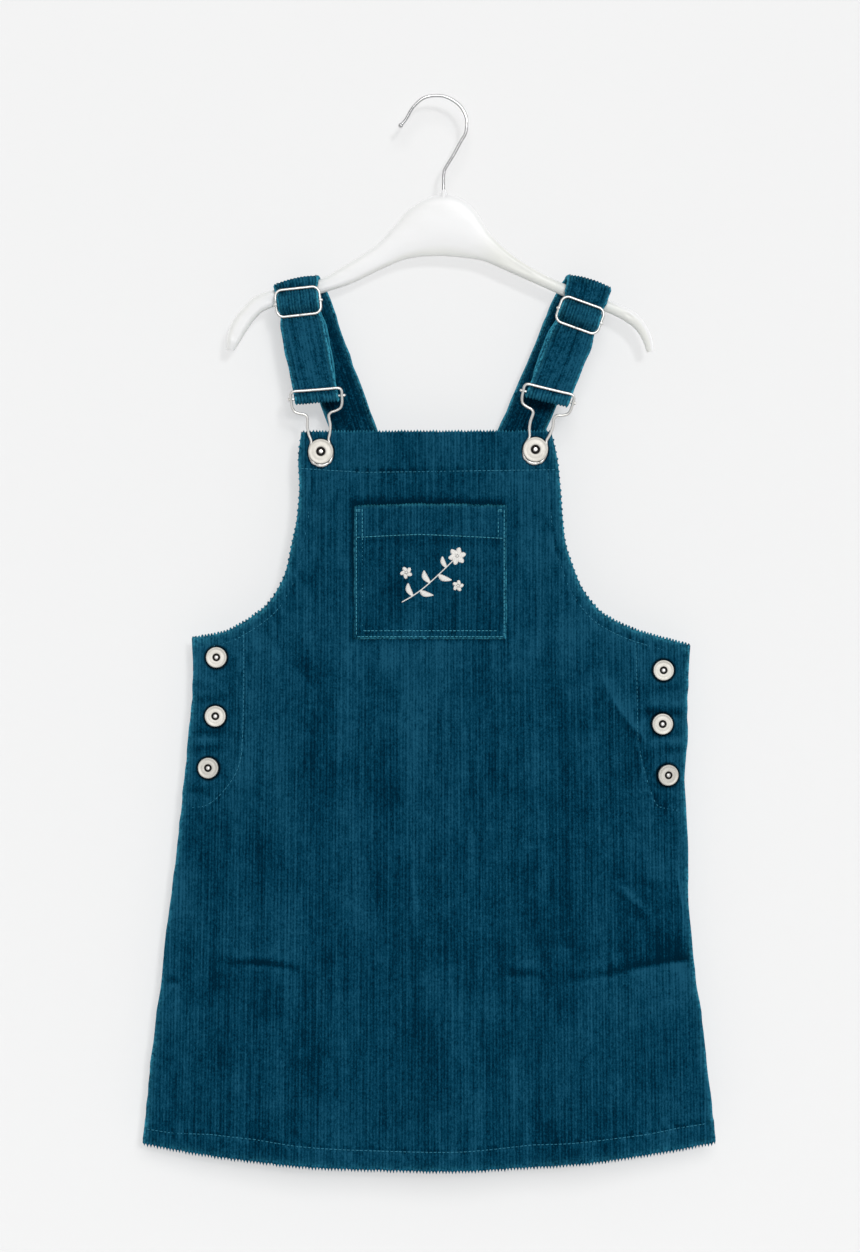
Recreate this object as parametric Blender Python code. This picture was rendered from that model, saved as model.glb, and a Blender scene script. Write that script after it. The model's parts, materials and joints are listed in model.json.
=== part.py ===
"""Corduroy pinafore dress hanging on a plastic hanger.

Sizes are in millimetres and turned into metres when a mesh is made. +Z is up, +X is the
viewer's right and the front of the dress faces -Y. The origin is the inside top of the hanger's
hook, where a rail carries it.
"""

import math

import bmesh
import bpy
from mathutils import Matrix, Vector

MM = 0.001

# Cloth
WALL = 1.6  # thickness of one layer of corduroy
SEAM_GAP = 0.3  # between pieces that are sewn or laid together
TOP_BAND = 30.0  # depth of the doubled top of the bib
TOP_BAND_EXTRA = 0.8
HEM_EXTRA = 1.0  # at the fold of the turned-up hem
SECTION_POWER = 2.4  # how flat the front and back are across before they curve to the side seams
PANEL_COLUMNS = 26
ARMHOLE_ROWS = 12
BODY_ROWS = 25

# Side seams from the underarm to the hem: share of the way down, left x, right x
SIDE_SEAMS = (
    (0.00, -187.7, 192.6),
    (0.05, -187.0, 191.3),
    (0.12, -188.0, 190.1),
    (0.20, -190.5, 190.4),
    (0.27, -192.5, 187.8),
    (0.32, -194.9, 189.4),
    (0.42, -199.6, 190.9),
    (0.52, -204.3, 191.7),
    (0.62, -208.4, 194.9),
    (0.68, -211.2, 197.5),
    (0.76, -215.3, 201.7),
    (0.84, -219.2, 205.1),
    (0.92, -221.9, 208.6),
    (1.00, -225.0, 211.7),
)
UNDERARM_Z = (-411.2, -416.8)  # left, right
HEM_CORNER_Z = (-796.7, -796.0)
HEM_DROP = 19.0  # how far the middle of the hem hangs below its corners
HEM_DROP_POWER = 2.1
HEM_DROP_START = 0.45  # share of the way down where the rows begin to bow

# Armhole edges of the front, from the bib's corner to the underarm: left x, left z, right x, right z
FRONT_ARMHOLE = (
    (-104.1, -254.2, 86.4, -253.8),
    (-106.2, -275.0, 90.8, -275.0),
    (-105.3, -297.0, 93.1, -297.0),
    (-107.4, -321.0, 94.9, -321.0),
    (-111.3, -340.0, 97.3, -340.0),
    (-115.0, -358.0, 103.2, -358.0),
    (-120.8, -372.0, 109.0, -372.0),
    (-129.7, -385.3, 118.2, -385.3),
    (-140.8, -394.4, 128.1, -394.4),
    (-156.0, -403.6, 146.8, -403.6),
    (-168.0, -408.0, 165.7, -409.6),
    (-187.7, -411.2, 192.6, -416.8),
)
# The same edges of the back, which is narrower above the underarm
BACK_ARMHOLE = (
    (-56.0, -340.5, 50.6, -340.5),
    (-66.0, -361.0, 60.4, -361.0),
    (-82.1, -380.8, 76.6, -381.4),
    (-104.9, -396.0, 98.8, -397.0),
    (-133.8, -405.8, 127.7, -407.4),
    (-161.0, -410.2, 159.6, -413.6),
    (-187.7, -411.2, 192.6, -416.8),
)
# How far the middle of each panel stands out from the side seams: z, front, back
PANEL_DEPTH = (
    (-250.0, 9.5, 9.3),
    (-415.0, 9.5, 9.4),
    (-600.0, 13.0, 12.0),
    (-820.0, 17.5, 16.5),
)
# Long soft folds: place across (-1 to 1), width, height (troughs are negative), start down the body
FRONT_FOLDS = (
    (-0.78, 0.13, 1.6, 0.25),
    (-0.46, 0.12, 3.2, 0.12),
    (-0.19, 0.12, -2.4, 0.20),
    (0.07, 0.12, 2.6, 0.10),
    (0.33, 0.12, -2.6, 0.22),
    (0.59, 0.13, 3.2, 0.18),
    (0.84, 0.10, -1.2, 0.40),
)
BACK_FOLDS = (
    (-0.70, 0.13, 2.8, 0.20),
    (-0.40, 0.13, -2.6, 0.15),
    (-0.08, 0.14, 3.4, 0.08),
    (0.24, 0.12, -2.2, 0.22),
    (0.52, 0.13, 2.8, 0.14),
    (0.80, 0.11, -1.4, 0.35),
)

# Pocket
POCKET_LEFT = -63.8
POCKET_RIGHT = 52.2
POCKET_TOP = -310.6
POCKET_BOTTOM = -412.0
POCKET_BAND = 24.0
POCKET_BAND_EXTRA = 0.7
POCKET_COLUMNS = 10
POCKET_ROWS = 9

# Straps
STRAP_WIDTH = 34.0
STRAP_PINCH = (
    (-2.2, 34.0),
    (1.6, 30.8),
    (20.4, 30.8),
    (28.0, 33.6),
)  # width where the front runs through the slider: down from the slider's upper wire, width
STRAP_THICK = 2.4
STRAP_BEVEL = 0.8  # how far in from the strap's edges it reaches its full thickness
STRAP_EDGE = 0.45  # share of that thickness at the edges
STRAP_LEAST_TURN = 14.0  # degrees from one section to the next where the strap bends
STRAP_LEAST_STEP = 0.9
STRAP_LONGEST_STEP = 45.0
STRAP_FOLD_BLEND = 5.0  # depth either side of the hanger over which front turns into rear
# Each strap: x and z of the top fold, tilt of the fold, x and z of the sewn end, tilt there
STRAP_FOLDS = {
    "left": (-107.6, -137.4, 12.0, -26.2, -359.5, 20.5),
    "right": (115.0, -138.4, -16.6, 19.6, -359.5, -23.4),
}
STRAP_BOW = {"left": -1.9, "right": 2.6}  # how far the front strays outward from a straight line
STRAP_BOW_POWER = 0.6  # below 1, the front strays most above its middle
STRAP_REAR_BOW = {"left": 2.0, "right": -2.6}  # and how far the rear starts inward of one
STRAP_REAR_BLEND = 7.0  # length below the fold over which the rear moves inward
SLIDER_TILT = {"left": 6.3, "right": -19.8}

# Wire hardware
WIRE_R = 1.05
WIRE_SIDES = 6
SLIDER_HALF_WIDTH = 17.4
SLIDER_DOWN = {"left": 6.8, "right": 16.9}  # from the strap's top fold to the slider's upper wire
SLIDER_BAR = 10.7  # from the upper wire down to the bar
SLIDER_HEIGHT = 20.4  # and to the lower wire
SLIDER_CORNER = 4.0
SLIDER_CORNER_STEPS = 3
SLIDER_DEPTH = 11.5  # in front of the hanger's middle plane
BAR_LOOP_R = 2.6  # middle of the strap round the slider's bar
BUCKLE_BAR_V = 41.4  # above the button's centre
BUCKLE_BAR_DEPTH = 13.0
BUCKLE_BAR_HALF = 20.8
BUCKLE_LOOP_R = 2.75  # middle of the strap round the buckle's bar
BUCKLE_SEAT = 0.8  # between the bib and the wire round the button's neck
BUCKLE_LEAN = {"left": 4.5, "right": -13.5}
# Right half of the buckle's wire, from the top bar to the loop's foot: across, up from the button
BUCKLE_WIRE = (
    (0.0, 47.0),
    (9.0, 47.0),
    (16.6, 47.0),
    (19.2, 45.2),
    (19.3, 41.5),
    (19.0, 35.6),
    (17.4, 32.0),
    (13.8, 30.2),
    (10.2, 29.2),
    (8.2, 26.6),
    (8.7, 20.0),
    (8.0, 13.8),
    (6.6, 8.4),
    (8.2, 2.6),
    (8.4, -3.0),
    (6.0, -8.0),
    (0.0, -10.2),
)
# How far the buckle's wire stands in front: up from the button, depth more than at the button
BUCKLE_STAND = (
    (-11.0, 0.0),
    (10.0, 0.1),
    (27.0, 1.9),
    (41.4, 4.1),
    (47.0, 5.2),
)

# Buttons: x, z of each centre
BIB_BUTTONS = {
    "left": (-88.9, -269.8),
    "right": (74.0, -268.3),
}
SIDE_BUTTONS = {
    "left": ((-168.7, -426.0), (-169.5, -470.8), (-174.8, -510.3)),
    "right": ((171.8, -435.8), (171.0, -476.7), (175.2, -515.6)),
}
BUTTON_SEGMENTS = 18
# Turned profiles from the cloth outward: radius, height
BIB_BUTTON_PROFILE = (
    (2.6, 0.35),
    (2.6, 3.4),
    (8.9, 3.4),
    (9.55, 4.1),
    (9.2, 5.1),
    (7.6, 5.6),
    (3.7, 5.2),
    (3.2, 4.4),
    (1.9, 4.4),
    (1.5, 5.4),
)
SIDE_BUTTON_PROFILE = (
    (7.8, 0.35),
    (8.35, 1.1),
    (8.1, 2.1),
    (6.8, 2.6),
    (3.3, 2.2),
    (2.9, 1.5),
    (1.7, 1.5),
    (1.3, 2.4),
)

# Hanger: upper edge x, z and lower edge x, z at stations from the left tip to the right tip
HANGER_STATIONS = (
    (-161.2, -191.2, -155.4, -192.0),
    (-160.4, -179.9, -150.8, -185.0),
    (-155.9, -168.4, -145.2, -175.8),
    (-148.2, -158.8, -139.2, -167.7),
    (-136.5, -149.2, -130.0, -160.5),
    (-107.9, -141.4, -104.0, -152.8),
    (-89.0, -137.2, -84.0, -146.8),
    (-72.0, -127.6, -66.0, -140.8),
    (-48.0, -112.4, -43.0, -129.8),
    (-33.0, -96.5, -26.0, -122.8),
    (-23.0, -85.2, -13.0, -120.4),
    (-9.0, -76.0, -3.0, -119.9),
    (4.2, -73.0, 4.2, -119.8),
    (17.0, -75.6, 12.0, -120.4),
    (28.6, -85.0, 21.0, -121.3),
    (40.5, -103.0, 35.0, -123.7),
    (58.0, -119.6, 53.0, -131.4),
    (84.0, -135.4, 80.0, -143.4),
    (114.0, -148.0, 110.0, -156.6),
    (137.0, -156.4, 131.0, -163.6),
    (149.8, -162.2, 143.2, -170.0),
    (157.4, -170.2, 150.8, -176.0),
    (162.8, -181.2, 156.0, -184.0),
    (164.6, -192.0, 159.4, -193.4),
)
HANGER_HALF_THICK = 4.4
HANGER_SIDES = 12
HANGER_ROUNDING = 2.6  # power of the section's rounded outline
# Middle of the hook's wire: x, z, from the free tip to the hanger
HOOK_WIRE = (
    (-28.3, -21.7),
    (-24.5, -17.5),
    (-20.8, -10.6),
    (-17.5, -6.1),
    (-11.4, -0.8),
    (-3.8, 1.3),
    (4.6, 0.9),
    (12.7, -3.0),
    (18.2, -8.4),
    (21.5, -15.2),
    (22.0, -22.0),
    (20.9, -28.9),
    (17.5, -35.0),
    (12.2, -44.8),
    (5.4, -55.6),
    (4.5, -59.4),
    (4.3, -72.4),
)
HOOK_R = 1.3
HOOK_SIDES = 8

# Colours: red, green, blue, then roughness and metallic
MATERIALS = {
    "corduroy": ((0.006, 0.075, 0.125), 0.9, 0.0),
    "strap_corduroy": ((0.008, 0.09, 0.145), 0.9, 0.0),
    "metal": ((0.78, 0.76, 0.71), 0.25, 1.0),
    "hanger_plastic": ((0.9, 0.9, 0.89), 0.4, 0.0),
    "hook_wire": ((0.8, 0.8, 0.82), 0.2, 1.0),
}


def clear_objects():
    for ob in list(bpy.data.objects):
        bpy.data.objects.remove(ob)


def make_materials():
    made = {}
    for name, (colour, roughness, metallic) in MATERIALS.items():
        material = bpy.data.materials.new(name)
        material.use_nodes = True
        shader = material.node_tree.nodes["Principled BSDF"]
        shader.inputs["Base Color"].default_value = (*colour, 1.0)
        shader.inputs["Roughness"].default_value = roughness
        shader.inputs["Metallic"].default_value = metallic
        made[name] = material
    return made


def make_object(name, points, faces, material):
    """One closed mesh object from points in millimetres, its faces turned outward."""
    shape = bmesh.new()
    verts = [shape.verts.new(Vector(p) * MM) for p in points]
    for face in faces:
        shape.faces.new([verts[i] for i in face])
    bmesh.ops.recalc_face_normals(shape, faces=shape.faces)
    mesh = bpy.data.meshes.new(name)
    shape.to_mesh(mesh)
    shape.free()
    mesh.materials.append(material)
    mesh.shade_smooth()
    mesh.set_sharp_from_angle(angle=math.radians(40.0))
    ob = bpy.data.objects.new(name, mesh)
    bpy.context.scene.collection.objects.link(ob)
    return ob


def smooth_step(x):
    x = min(max(x, 0.0), 1.0)
    return x * x * (3.0 - 2.0 * x)


def table_value(table, key, column):
    """A column of a table at a key between its rows; the first column rises or falls steadily."""
    rising = table[0][0] < table[-1][0]
    rows = table if rising else table[::-1]
    if key <= rows[0][0]:
        return rows[0][column]
    for low, high in zip(rows, rows[1:]):
        if key <= high[0]:
            share = (key - low[0]) / (high[0] - low[0])
            return low[column] + share * (high[column] - low[column])
    return rows[-1][column]


def curve_through(points, closed=False, steps=8):
    """Points on a smooth curve through the given ones (Catmull-Rom), steps to each stretch."""
    points = [Vector(p) for p in points]
    count = len(points)
    stretches = count if closed else count - 1
    curve = []
    for i in range(stretches):
        if closed:
            a, b, c, d = (points[(i + k) % count] for k in (-1, 0, 1, 2))
        else:
            b, c = points[i], points[i + 1]
            a = points[i - 1] if i > 0 else b * 2 - c
            d = points[i + 2] if i + 2 < count else c * 2 - b
        for k in range(steps):
            t = k / steps
            curve.append(
                0.5 * (2 * b + (c - a) * t + (2 * a - 5 * b + 4 * c - d) * t**2 + (3 * b - a - 3 * c + d) * t**3)
            )
    if not closed:
        curve.append(points[-1])
    return curve


def resample(points, count):
    """Evenly spaced points along a polyline, its two ends included."""
    lengths = [0.0]
    for a, b in zip(points, points[1:]):
        lengths.append(lengths[-1] + (b - a).length)
    spaced = []
    i = 0
    for k in range(count):
        target = lengths[-1] * k / (count - 1)
        while i < len(points) - 2 and lengths[i + 1] < target:
            i += 1
        stretch = lengths[i + 1] - lengths[i]
        share = (target - lengths[i]) / stretch if stretch else 0.0
        spaced.append(points[i].lerp(points[i + 1], share))
    return spaced


# ---------------------------------------------------------------- front and back

BODY_MID = (SIDE_SEAMS[0][1] + SIDE_SEAMS[0][2]) / 2
BODY_HALF = (SIDE_SEAMS[0][2] - SIDE_SEAMS[0][1]) / 2


def side_point(down, side):
    """x and z on a side seam, down from 0 at the underarm to 1 at the hem's corner."""
    x = table_value(SIDE_SEAMS, down, 1 + side)
    z = UNDERARM_Z[side] + down * (HEM_CORNER_Z[side] - UNDERARM_Z[side])
    return x, z


def panel_rows(armhole):
    """Left end, right end and share down the body of each row, from the top edge to the hem."""
    left = resample(curve_through([(r[0], r[1]) for r in armhole]), ARMHOLE_ROWS + 1)
    right = resample(curve_through([(r[2], r[3]) for r in armhole]), ARMHOLE_ROWS + 1)
    rows = [(tuple(a), tuple(b), 0.0) for a, b in zip(left, right)]
    for k in range(1, BODY_ROWS + 1):
        down = k / BODY_ROWS
        rows.append((side_point(down, 0), side_point(down, 1), down))
    return rows


def stand_out(x, z, down, across, is_front):
    """How far a panel's middle surface stands out from the plane of the side seams."""
    bow = max(1.0 - abs(across) ** SECTION_POWER, 0.0)
    depth = table_value(PANEL_DEPTH, z, 1 if is_front else 2)
    folds = 0.0
    for place, width, height, start in FRONT_FOLDS if is_front else BACK_FOLDS:
        rise = smooth_step((down - start) / (1.0 - start))
        folds += height * rise * math.exp(-(((across - place) / width) ** 2))
    return bow * (depth + folds)


def across_at(x):
    """Place across the panel, -1 to 1, for anything above the underarm."""
    return (x - BODY_MID) / BODY_HALF


def body_place(x, z):
    """Share down the body and place across it, for a point above where the rows begin to bow."""
    share = (across_at(x) + 1.0) / 2.0
    down = 0.0
    for _ in range(3):
        top = UNDERARM_Z[0] + share * (UNDERARM_Z[1] - UNDERARM_Z[0])
        bottom = HEM_CORNER_Z[0] + share * (HEM_CORNER_Z[1] - HEM_CORNER_Z[0])
        down = max((top - z) / (top - bottom), 0.0)
        left = table_value(SIDE_SEAMS, down, 1)
        right = table_value(SIDE_SEAMS, down, 2)
        share = (x - left) / (right - left)
    return down, 2.0 * share - 1.0


def front_outer(x, z):
    """How far the front's outer face stands in front of the plane of the side seams."""
    down, across = body_place(x, z)
    return SEAM_GAP / 2 + stand_out(x, z, down, across, True) + WALL


def panel(name, armhole, is_front, material):
    sign = -1.0 if is_front else 1.0
    rows = panel_rows(armhole)
    outer = []
    inner = []
    for left, right, down in rows:
        drop = HEM_DROP * smooth_step((down - HEM_DROP_START) / (1.0 - HEM_DROP_START))
        for k in range(PANEL_COLUMNS + 1):
            share = k / PANEL_COLUMNS
            x = left[0] + share * (right[0] - left[0])
            z = left[1] + share * (right[1] - left[1])
            across = 2.0 * share - 1.0 if down > 0.0 else across_at(x)
            z -= drop * (1.0 - abs(across) ** HEM_DROP_POWER)
            depth = stand_out(x, z, down, across, is_front)
            extra = 0.0
            if down == 0.0 and rows[0][0][1] - z < TOP_BAND:
                extra = TOP_BAND_EXTRA
            if down == 1.0:
                extra = HEM_EXTRA
            outer.append((x, sign * (SEAM_GAP / 2 + depth + WALL), z))
            inner.append((x, sign * (SEAM_GAP / 2 + max(depth - extra, 0.0)), z))
    return wall(name, outer, inner, len(rows), PANEL_COLUMNS + 1, material)


def wall(name, outer, inner, row_count, column_count, material):
    """A closed wall between two grids of points with the same rows and columns."""
    offset = len(outer)

    def at(row, column, face):
        return row * column_count + column + (offset if face else 0)

    faces = []
    for r in range(row_count - 1):
        for c in range(column_count - 1):
            faces.append((at(r, c, 0), at(r + 1, c, 0), at(r + 1, c + 1, 0), at(r, c + 1, 0)))
            faces.append((at(r, c, 1), at(r, c + 1, 1), at(r + 1, c + 1, 1), at(r + 1, c, 1)))
    last_row = row_count - 1
    last_column = column_count - 1
    for c in range(last_column):
        faces.append((at(0, c, 0), at(0, c + 1, 0), at(0, c + 1, 1), at(0, c, 1)))
        faces.append((at(last_row, c, 0), at(last_row, c, 1), at(last_row, c + 1, 1), at(last_row, c + 1, 0)))
    for r in range(last_row):
        faces.append((at(r, 0, 0), at(r, 0, 1), at(r + 1, 0, 1), at(r + 1, 0, 0)))
        faces.append((at(r, last_column, 0), at(r + 1, last_column, 0), at(r + 1, last_column, 1), at(r, last_column, 1)))
    return make_object(name, outer + inner, faces, material)


def pocket(material):
    outer = []
    inner = []
    for r in range(POCKET_ROWS + 1):
        z = POCKET_TOP + (POCKET_BOTTOM - POCKET_TOP) * r / POCKET_ROWS
        extra = POCKET_BAND_EXTRA if POCKET_TOP - z < POCKET_BAND else 0.0
        for c in range(POCKET_COLUMNS + 1):
            x = POCKET_LEFT + (POCKET_RIGHT - POCKET_LEFT) * c / POCKET_COLUMNS
            surface = front_outer(x, z) + SEAM_GAP
            inner.append((x, -surface, z))
            outer.append((x, -(surface + WALL + extra), z))
    return wall("bib_pocket", outer, inner, POCKET_ROWS + 1, POCKET_COLUMNS + 1, material)


# ---------------------------------------------------------------- tubes and turned pieces


def tube(name, path, radius, sides, closed, material):
    """A round wire along a path; its section is carried along without twisting."""
    count = len(path)
    points = []
    normal = None
    for i, p in enumerate(path):
        if closed:
            tangent = path[(i + 1) % count] - path[i - 1]
        else:
            tangent = path[min(i + 1, count - 1)] - path[max(i - 1, 0)]
        tangent.normalize()
        if normal is None:
            normal = tangent.cross(Vector((0.0, 1.0, 0.0)))
        normal = (normal - tangent * normal.dot(tangent)).normalized()
        side = tangent.cross(normal)
        for k in range(sides):
            turn = 2.0 * math.pi * (k + 0.5) / sides
            points.append(p + radius * (math.cos(turn) * normal + math.sin(turn) * side))
    faces = []
    for i in range(count if closed else count - 1):
        for k in range(sides):
            a = i * sides + k
            b = i * sides + (k + 1) % sides
            c = (i + 1) % count * sides + (k + 1) % sides
            d = (i + 1) % count * sides + k
            faces.append((a, b, c, d))
    if not closed:
        faces.append(tuple(range(sides)))
        faces.append(tuple(range((count - 1) * sides, count * sides)))
    return make_object(name, points, faces, material)


def turned(name, profile, segments, centre, normal, material):
    """A profile of radius and height turned about an axis through centre along normal."""
    axis = Vector(normal).normalized()
    first = axis.orthogonal().normalized()
    second = axis.cross(first)
    points = []
    for radius, height in profile:
        for k in range(segments):
            turn = 2.0 * math.pi * k / segments
            points.append(centre + axis * height + radius * (math.cos(turn) * first + math.sin(turn) * second))
    faces = []
    for i in range(len(profile) - 1):
        for k in range(segments):
            a = i * segments + k
            b = i * segments + (k + 1) % segments
            faces.append((a, b, b + segments, a + segments))
    faces.append(tuple(range(segments)))
    faces.append(tuple(range((len(profile) - 1) * segments, len(profile) * segments)))
    return make_object(name, points, faces, material)


# ---------------------------------------------------------------- buttons


def front_frame(x, z):
    """Point on the front's outer face and the direction that it faces."""
    step = 6.0
    point = Vector((x, -front_outer(x, z), z))
    slope_x = (front_outer(x + step, z) - front_outer(x - step, z)) / (2 * step)
    slope_z = (front_outer(x, z + step) - front_outer(x, z - step)) / (2 * step)
    return point, Vector((-slope_x, -1.0, -slope_z)).normalized()


def buttons(material):
    for side, (x, z) in BIB_BUTTONS.items():
        point, normal = front_frame(x, z)
        turned(f"bib_button_{side}", BIB_BUTTON_PROFILE, BUTTON_SEGMENTS, point, normal, material)
    for side, places in SIDE_BUTTONS.items():
        for number, (x, z) in enumerate(places, 1):
            point, normal = front_frame(x, z)
            name = f"side_button_{side}_{number}"
            turned(name, SIDE_BUTTON_PROFILE, BUTTON_SEGMENTS, point, normal, material)


# ---------------------------------------------------------------- buckles


def buckle_point(side, across, up, depth):
    """A point given in the buckle's own plane, which leans about its button."""
    x, z = BIB_BUTTONS[side]
    lean = math.radians(BUCKLE_LEAN[side])
    return Vector(
        (
            x + across * math.cos(lean) - up * math.sin(lean),
            -depth,
            z + across * math.sin(lean) + up * math.cos(lean),
        )
    )


def buckle(side, material):
    x, z = BIB_BUTTONS[side]
    seat = front_outer(x, z) + BUCKLE_SEAT + WIRE_R
    half = list(BUCKLE_WIRE)
    outline = half + [(-a, v) for a, v in half[-2:0:-1]]
    path = []
    for across, up in outline:
        path.append(buckle_point(side, across, up, seat + table_value(BUCKLE_STAND, up, 1)))
    tube(f"buckle_{side}", curve_through(path, closed=True, steps=1), WIRE_R, WIRE_SIDES, True, material)
    ends = [buckle_point(side, a, BUCKLE_BAR_V, BUCKLE_BAR_DEPTH) for a in (-BUCKLE_BAR_HALF, BUCKLE_BAR_HALF)]
    tube(f"buckle_bar_{side}", ends, WIRE_R, WIRE_SIDES, False, material)


# ---------------------------------------------------------------- straps and sliders


class StrapLine:
    """Where a strap runs: down the front from its top fold to the buckle and down the rear."""

    def __init__(self, side):
        fold_x, fold_z, fold_tilt, end_x, end_z, end_tilt = STRAP_FOLDS[side]
        self.bow, self.rear_bow = STRAP_BOW[side], STRAP_REAR_BOW[side]
        self.slider_down = SLIDER_DOWN[side]
        self.fold = Vector((fold_x, 0.0, fold_z))
        bar = buckle_point(side, 0.0, BUCKLE_BAR_V, 0.0)
        self.front_end = bar
        self.front_length = (bar - self.fold).length
        self.rear_end = Vector((end_x, 0.0, end_z))
        self.rear_length = (self.rear_end - self.fold).length
        self.front_tilts = (
            (0.0, fold_tilt),
            (self.slider_down, (fold_tilt + SLIDER_TILT[side]) / 2),
            (self.slider_down + SLIDER_BAR, SLIDER_TILT[side]),
            (self.slider_down + SLIDER_HEIGHT, SLIDER_TILT[side]),
            (self.front_length - 4.0, BUCKLE_LEAN[side]),
            (self.front_length + 9.0, BUCKLE_LEAN[side]),
        )
        self.rear_tilts = ((0.0, fold_tilt), (30.0, end_tilt), (self.rear_length, end_tilt))

    def place(self, down, depth):
        """Middle point and tilt of the strap, down from the fold and in front of the hanger."""
        front = self.fold.lerp(self.front_end, down / self.front_length)
        rear = self.fold.lerp(self.rear_end, down / self.rear_length)
        front_share = min(max(down / self.front_length, 0.0), 1.0)
        front.x += self.bow * math.sin(math.pi * front_share**STRAP_BOW_POWER)
        below = max(down, 0.0)
        rear.x += self.rear_bow * (1.0 - math.exp(-below / STRAP_REAR_BLEND)) * (1.0 - below / self.rear_length)
        share = smooth_step((depth + STRAP_FOLD_BLEND) / (2 * STRAP_FOLD_BLEND))
        middle = rear.lerp(front, share)
        front_tilt = table_value(self.front_tilts, down, 1)
        rear_tilt = table_value(self.rear_tilts, down, 1)
        middle.y = -depth
        return middle, rear_tilt + share * (front_tilt - rear_tilt)

    def width(self, down, depth):
        return table_value(STRAP_PINCH, down - self.slider_down, 1) if depth > 0.0 else STRAP_WIDTH


def loop_points(down, depth, radius, start, end, count):
    """Points round a bar in the strap's side view; 0 degrees is down and 90 is to the front."""
    turned_points = []
    for k in range(count):
        angle = math.radians(start + (end - start) * k / (count - 1))
        turned_points.append((down + radius * math.cos(angle), depth + radius * math.sin(angle)))
    return turned_points


def strap_route(line):
    """The strap's middle in side view, as distance down from the top fold and depth in front."""
    bar = line.front_length
    wire = line.slider_down
    rear = [
        (line.rear_length, -6.8),
        (line.rear_length - 22.0, -6.8),
        (line.rear_length * 0.55, -6.5),
        (30.0, -6.2),
        (9.0, -6.1),
        (4.6, -5.5),
    ]
    over = [(2.0, -3.6), (1.2, 0.0), (1.6, 4.0), (2.7, 7.4), (0.6 * wire, 8.4)]
    slider = [
        (wire + 0.9, 8.9),
        (wire + 3.3, 10.0),
        (wire + 5.3, 13.2),
        (wire + 7.7, 16.0),
        (wire + 10.7, 16.9),
        (wire + 13.5, 16.0),
        (wire + 15.5, 13.2),
        (wire + 17.3, 10.3),
        (wire + 20.2, 8.85),
        (wire + 25.7, 9.0),
    ]
    front = [
        (52.0, 10.4),
        (bar - 16.0, 11.9),
        (bar - 8.0, 12.9),
        (bar - 3.4, 14.9),
    ]
    around = loop_points(bar, BUCKLE_BAR_DEPTH, BUCKLE_LOOP_R, 90.0, -90.0, 9)
    back_up = [
        (bar - 6.0, 9.8),
        (bar - 14.0, 9.0),
        (52.0, 7.6),
        (wire + 25.7, 6.1),
        (wire + 21.1, 6.0),
        (wire + 16.1, 7.2),
    ]
    end_loop = loop_points(wire + SLIDER_BAR, SLIDER_DEPTH, BAR_LOOP_R, -60.0, -290.0, 9)
    return rear + over + slider + front + around + back_up + end_loop


def strap(side, material):
    line = StrapLine(side)
    route = curve_through([(s, d, 0.0) for s, d in strap_route(line)], steps=10)
    stations = thin_out(route)
    half_thick = STRAP_THICK / 2
    points = []
    for i, station in enumerate(stations):
        before = stations[max(i - 1, 0)]
        after = stations[min(i + 1, len(stations) - 1)]
        middle, tilt = line.place(station.x, station.y)
        tangent = line.place(after.x, after.y)[0] - line.place(before.x, before.y)[0]
        across = Vector((math.cos(math.radians(tilt)), 0.0, math.sin(math.radians(tilt))))
        normal = tangent.cross(across).normalized()
        half = line.width(station.x, station.y) / 2
        section = (
            (-half, -STRAP_EDGE),
            (-half + STRAP_BEVEL, -1.0),
            (half - STRAP_BEVEL, -1.0),
            (half, -STRAP_EDGE),
            (half, STRAP_EDGE),
            (half - STRAP_BEVEL, 1.0),
            (-half + STRAP_BEVEL, 1.0),
            (-half, STRAP_EDGE),
        )
        for a, n in section:
            points.append(middle + across * a + normal * (n * half_thick))
    sides = len(section)
    faces = []
    for i in range(len(stations) - 1):
        for k in range(sides):
            a = i * sides + k
            b = i * sides + (k + 1) % sides
            faces.append((a, b, b + sides, a + sides))
    faces.append(tuple(range(sides)))
    faces.append(tuple(range((len(stations) - 1) * sides, len(stations) * sides)))
    return make_object(f"strap_{side}", points, faces, material)


def thin_out(route):
    """Keeps a station wherever the route has turned or gone far enough since the last one."""
    least_turn = math.radians(STRAP_LEAST_TURN)
    kept = [route[0]]
    for i in range(1, len(route) - 1):
        gone = (route[i] - kept[-1]).length
        ahead = route[i + 1] - route[i]
        if gone < STRAP_LEAST_STEP or ahead.length == 0.0:
            continue
        turn = (route[i] - kept[-1]).angle(ahead)
        if turn > least_turn or gone > STRAP_LONGEST_STEP:
            kept.append(route[i])
    kept.append(route[-1])
    return kept


def slider(side, material):
    line = StrapLine(side)
    half_height = SLIDER_HEIGHT / 2
    middle, _ = line.place(line.slider_down + half_height, SLIDER_DEPTH)
    tilt = math.radians(SLIDER_TILT[side])
    across = Vector((math.cos(tilt), 0.0, math.sin(tilt)))
    up = Vector((-math.sin(tilt), 0.0, math.cos(tilt)))
    path = []
    for corner_x, corner_z, start in ((1, 1, 0), (-1, 1, 90), (-1, -1, 180), (1, -1, 270)):
        for k in range(SLIDER_CORNER_STEPS + 1):
            turn = math.radians(start + 90.0 * k / SLIDER_CORNER_STEPS)
            a = corner_x * (SLIDER_HALF_WIDTH - SLIDER_CORNER) + SLIDER_CORNER * math.cos(turn)
            v = corner_z * (half_height - SLIDER_CORNER) + SLIDER_CORNER * math.sin(turn)
            path.append(middle + across * a + up * v)
    tube(f"slider_{side}", path, WIRE_R, WIRE_SIDES, True, material)
    bar_up = half_height - SLIDER_BAR
    reach = SLIDER_HALF_WIDTH - WIRE_R - SEAM_GAP
    ends = [middle + across * a + up * bar_up for a in (-reach, reach)]
    tube(f"slider_bar_{side}", ends, WIRE_R, WIRE_SIDES, False, material)


# ---------------------------------------------------------------- hanger


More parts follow.
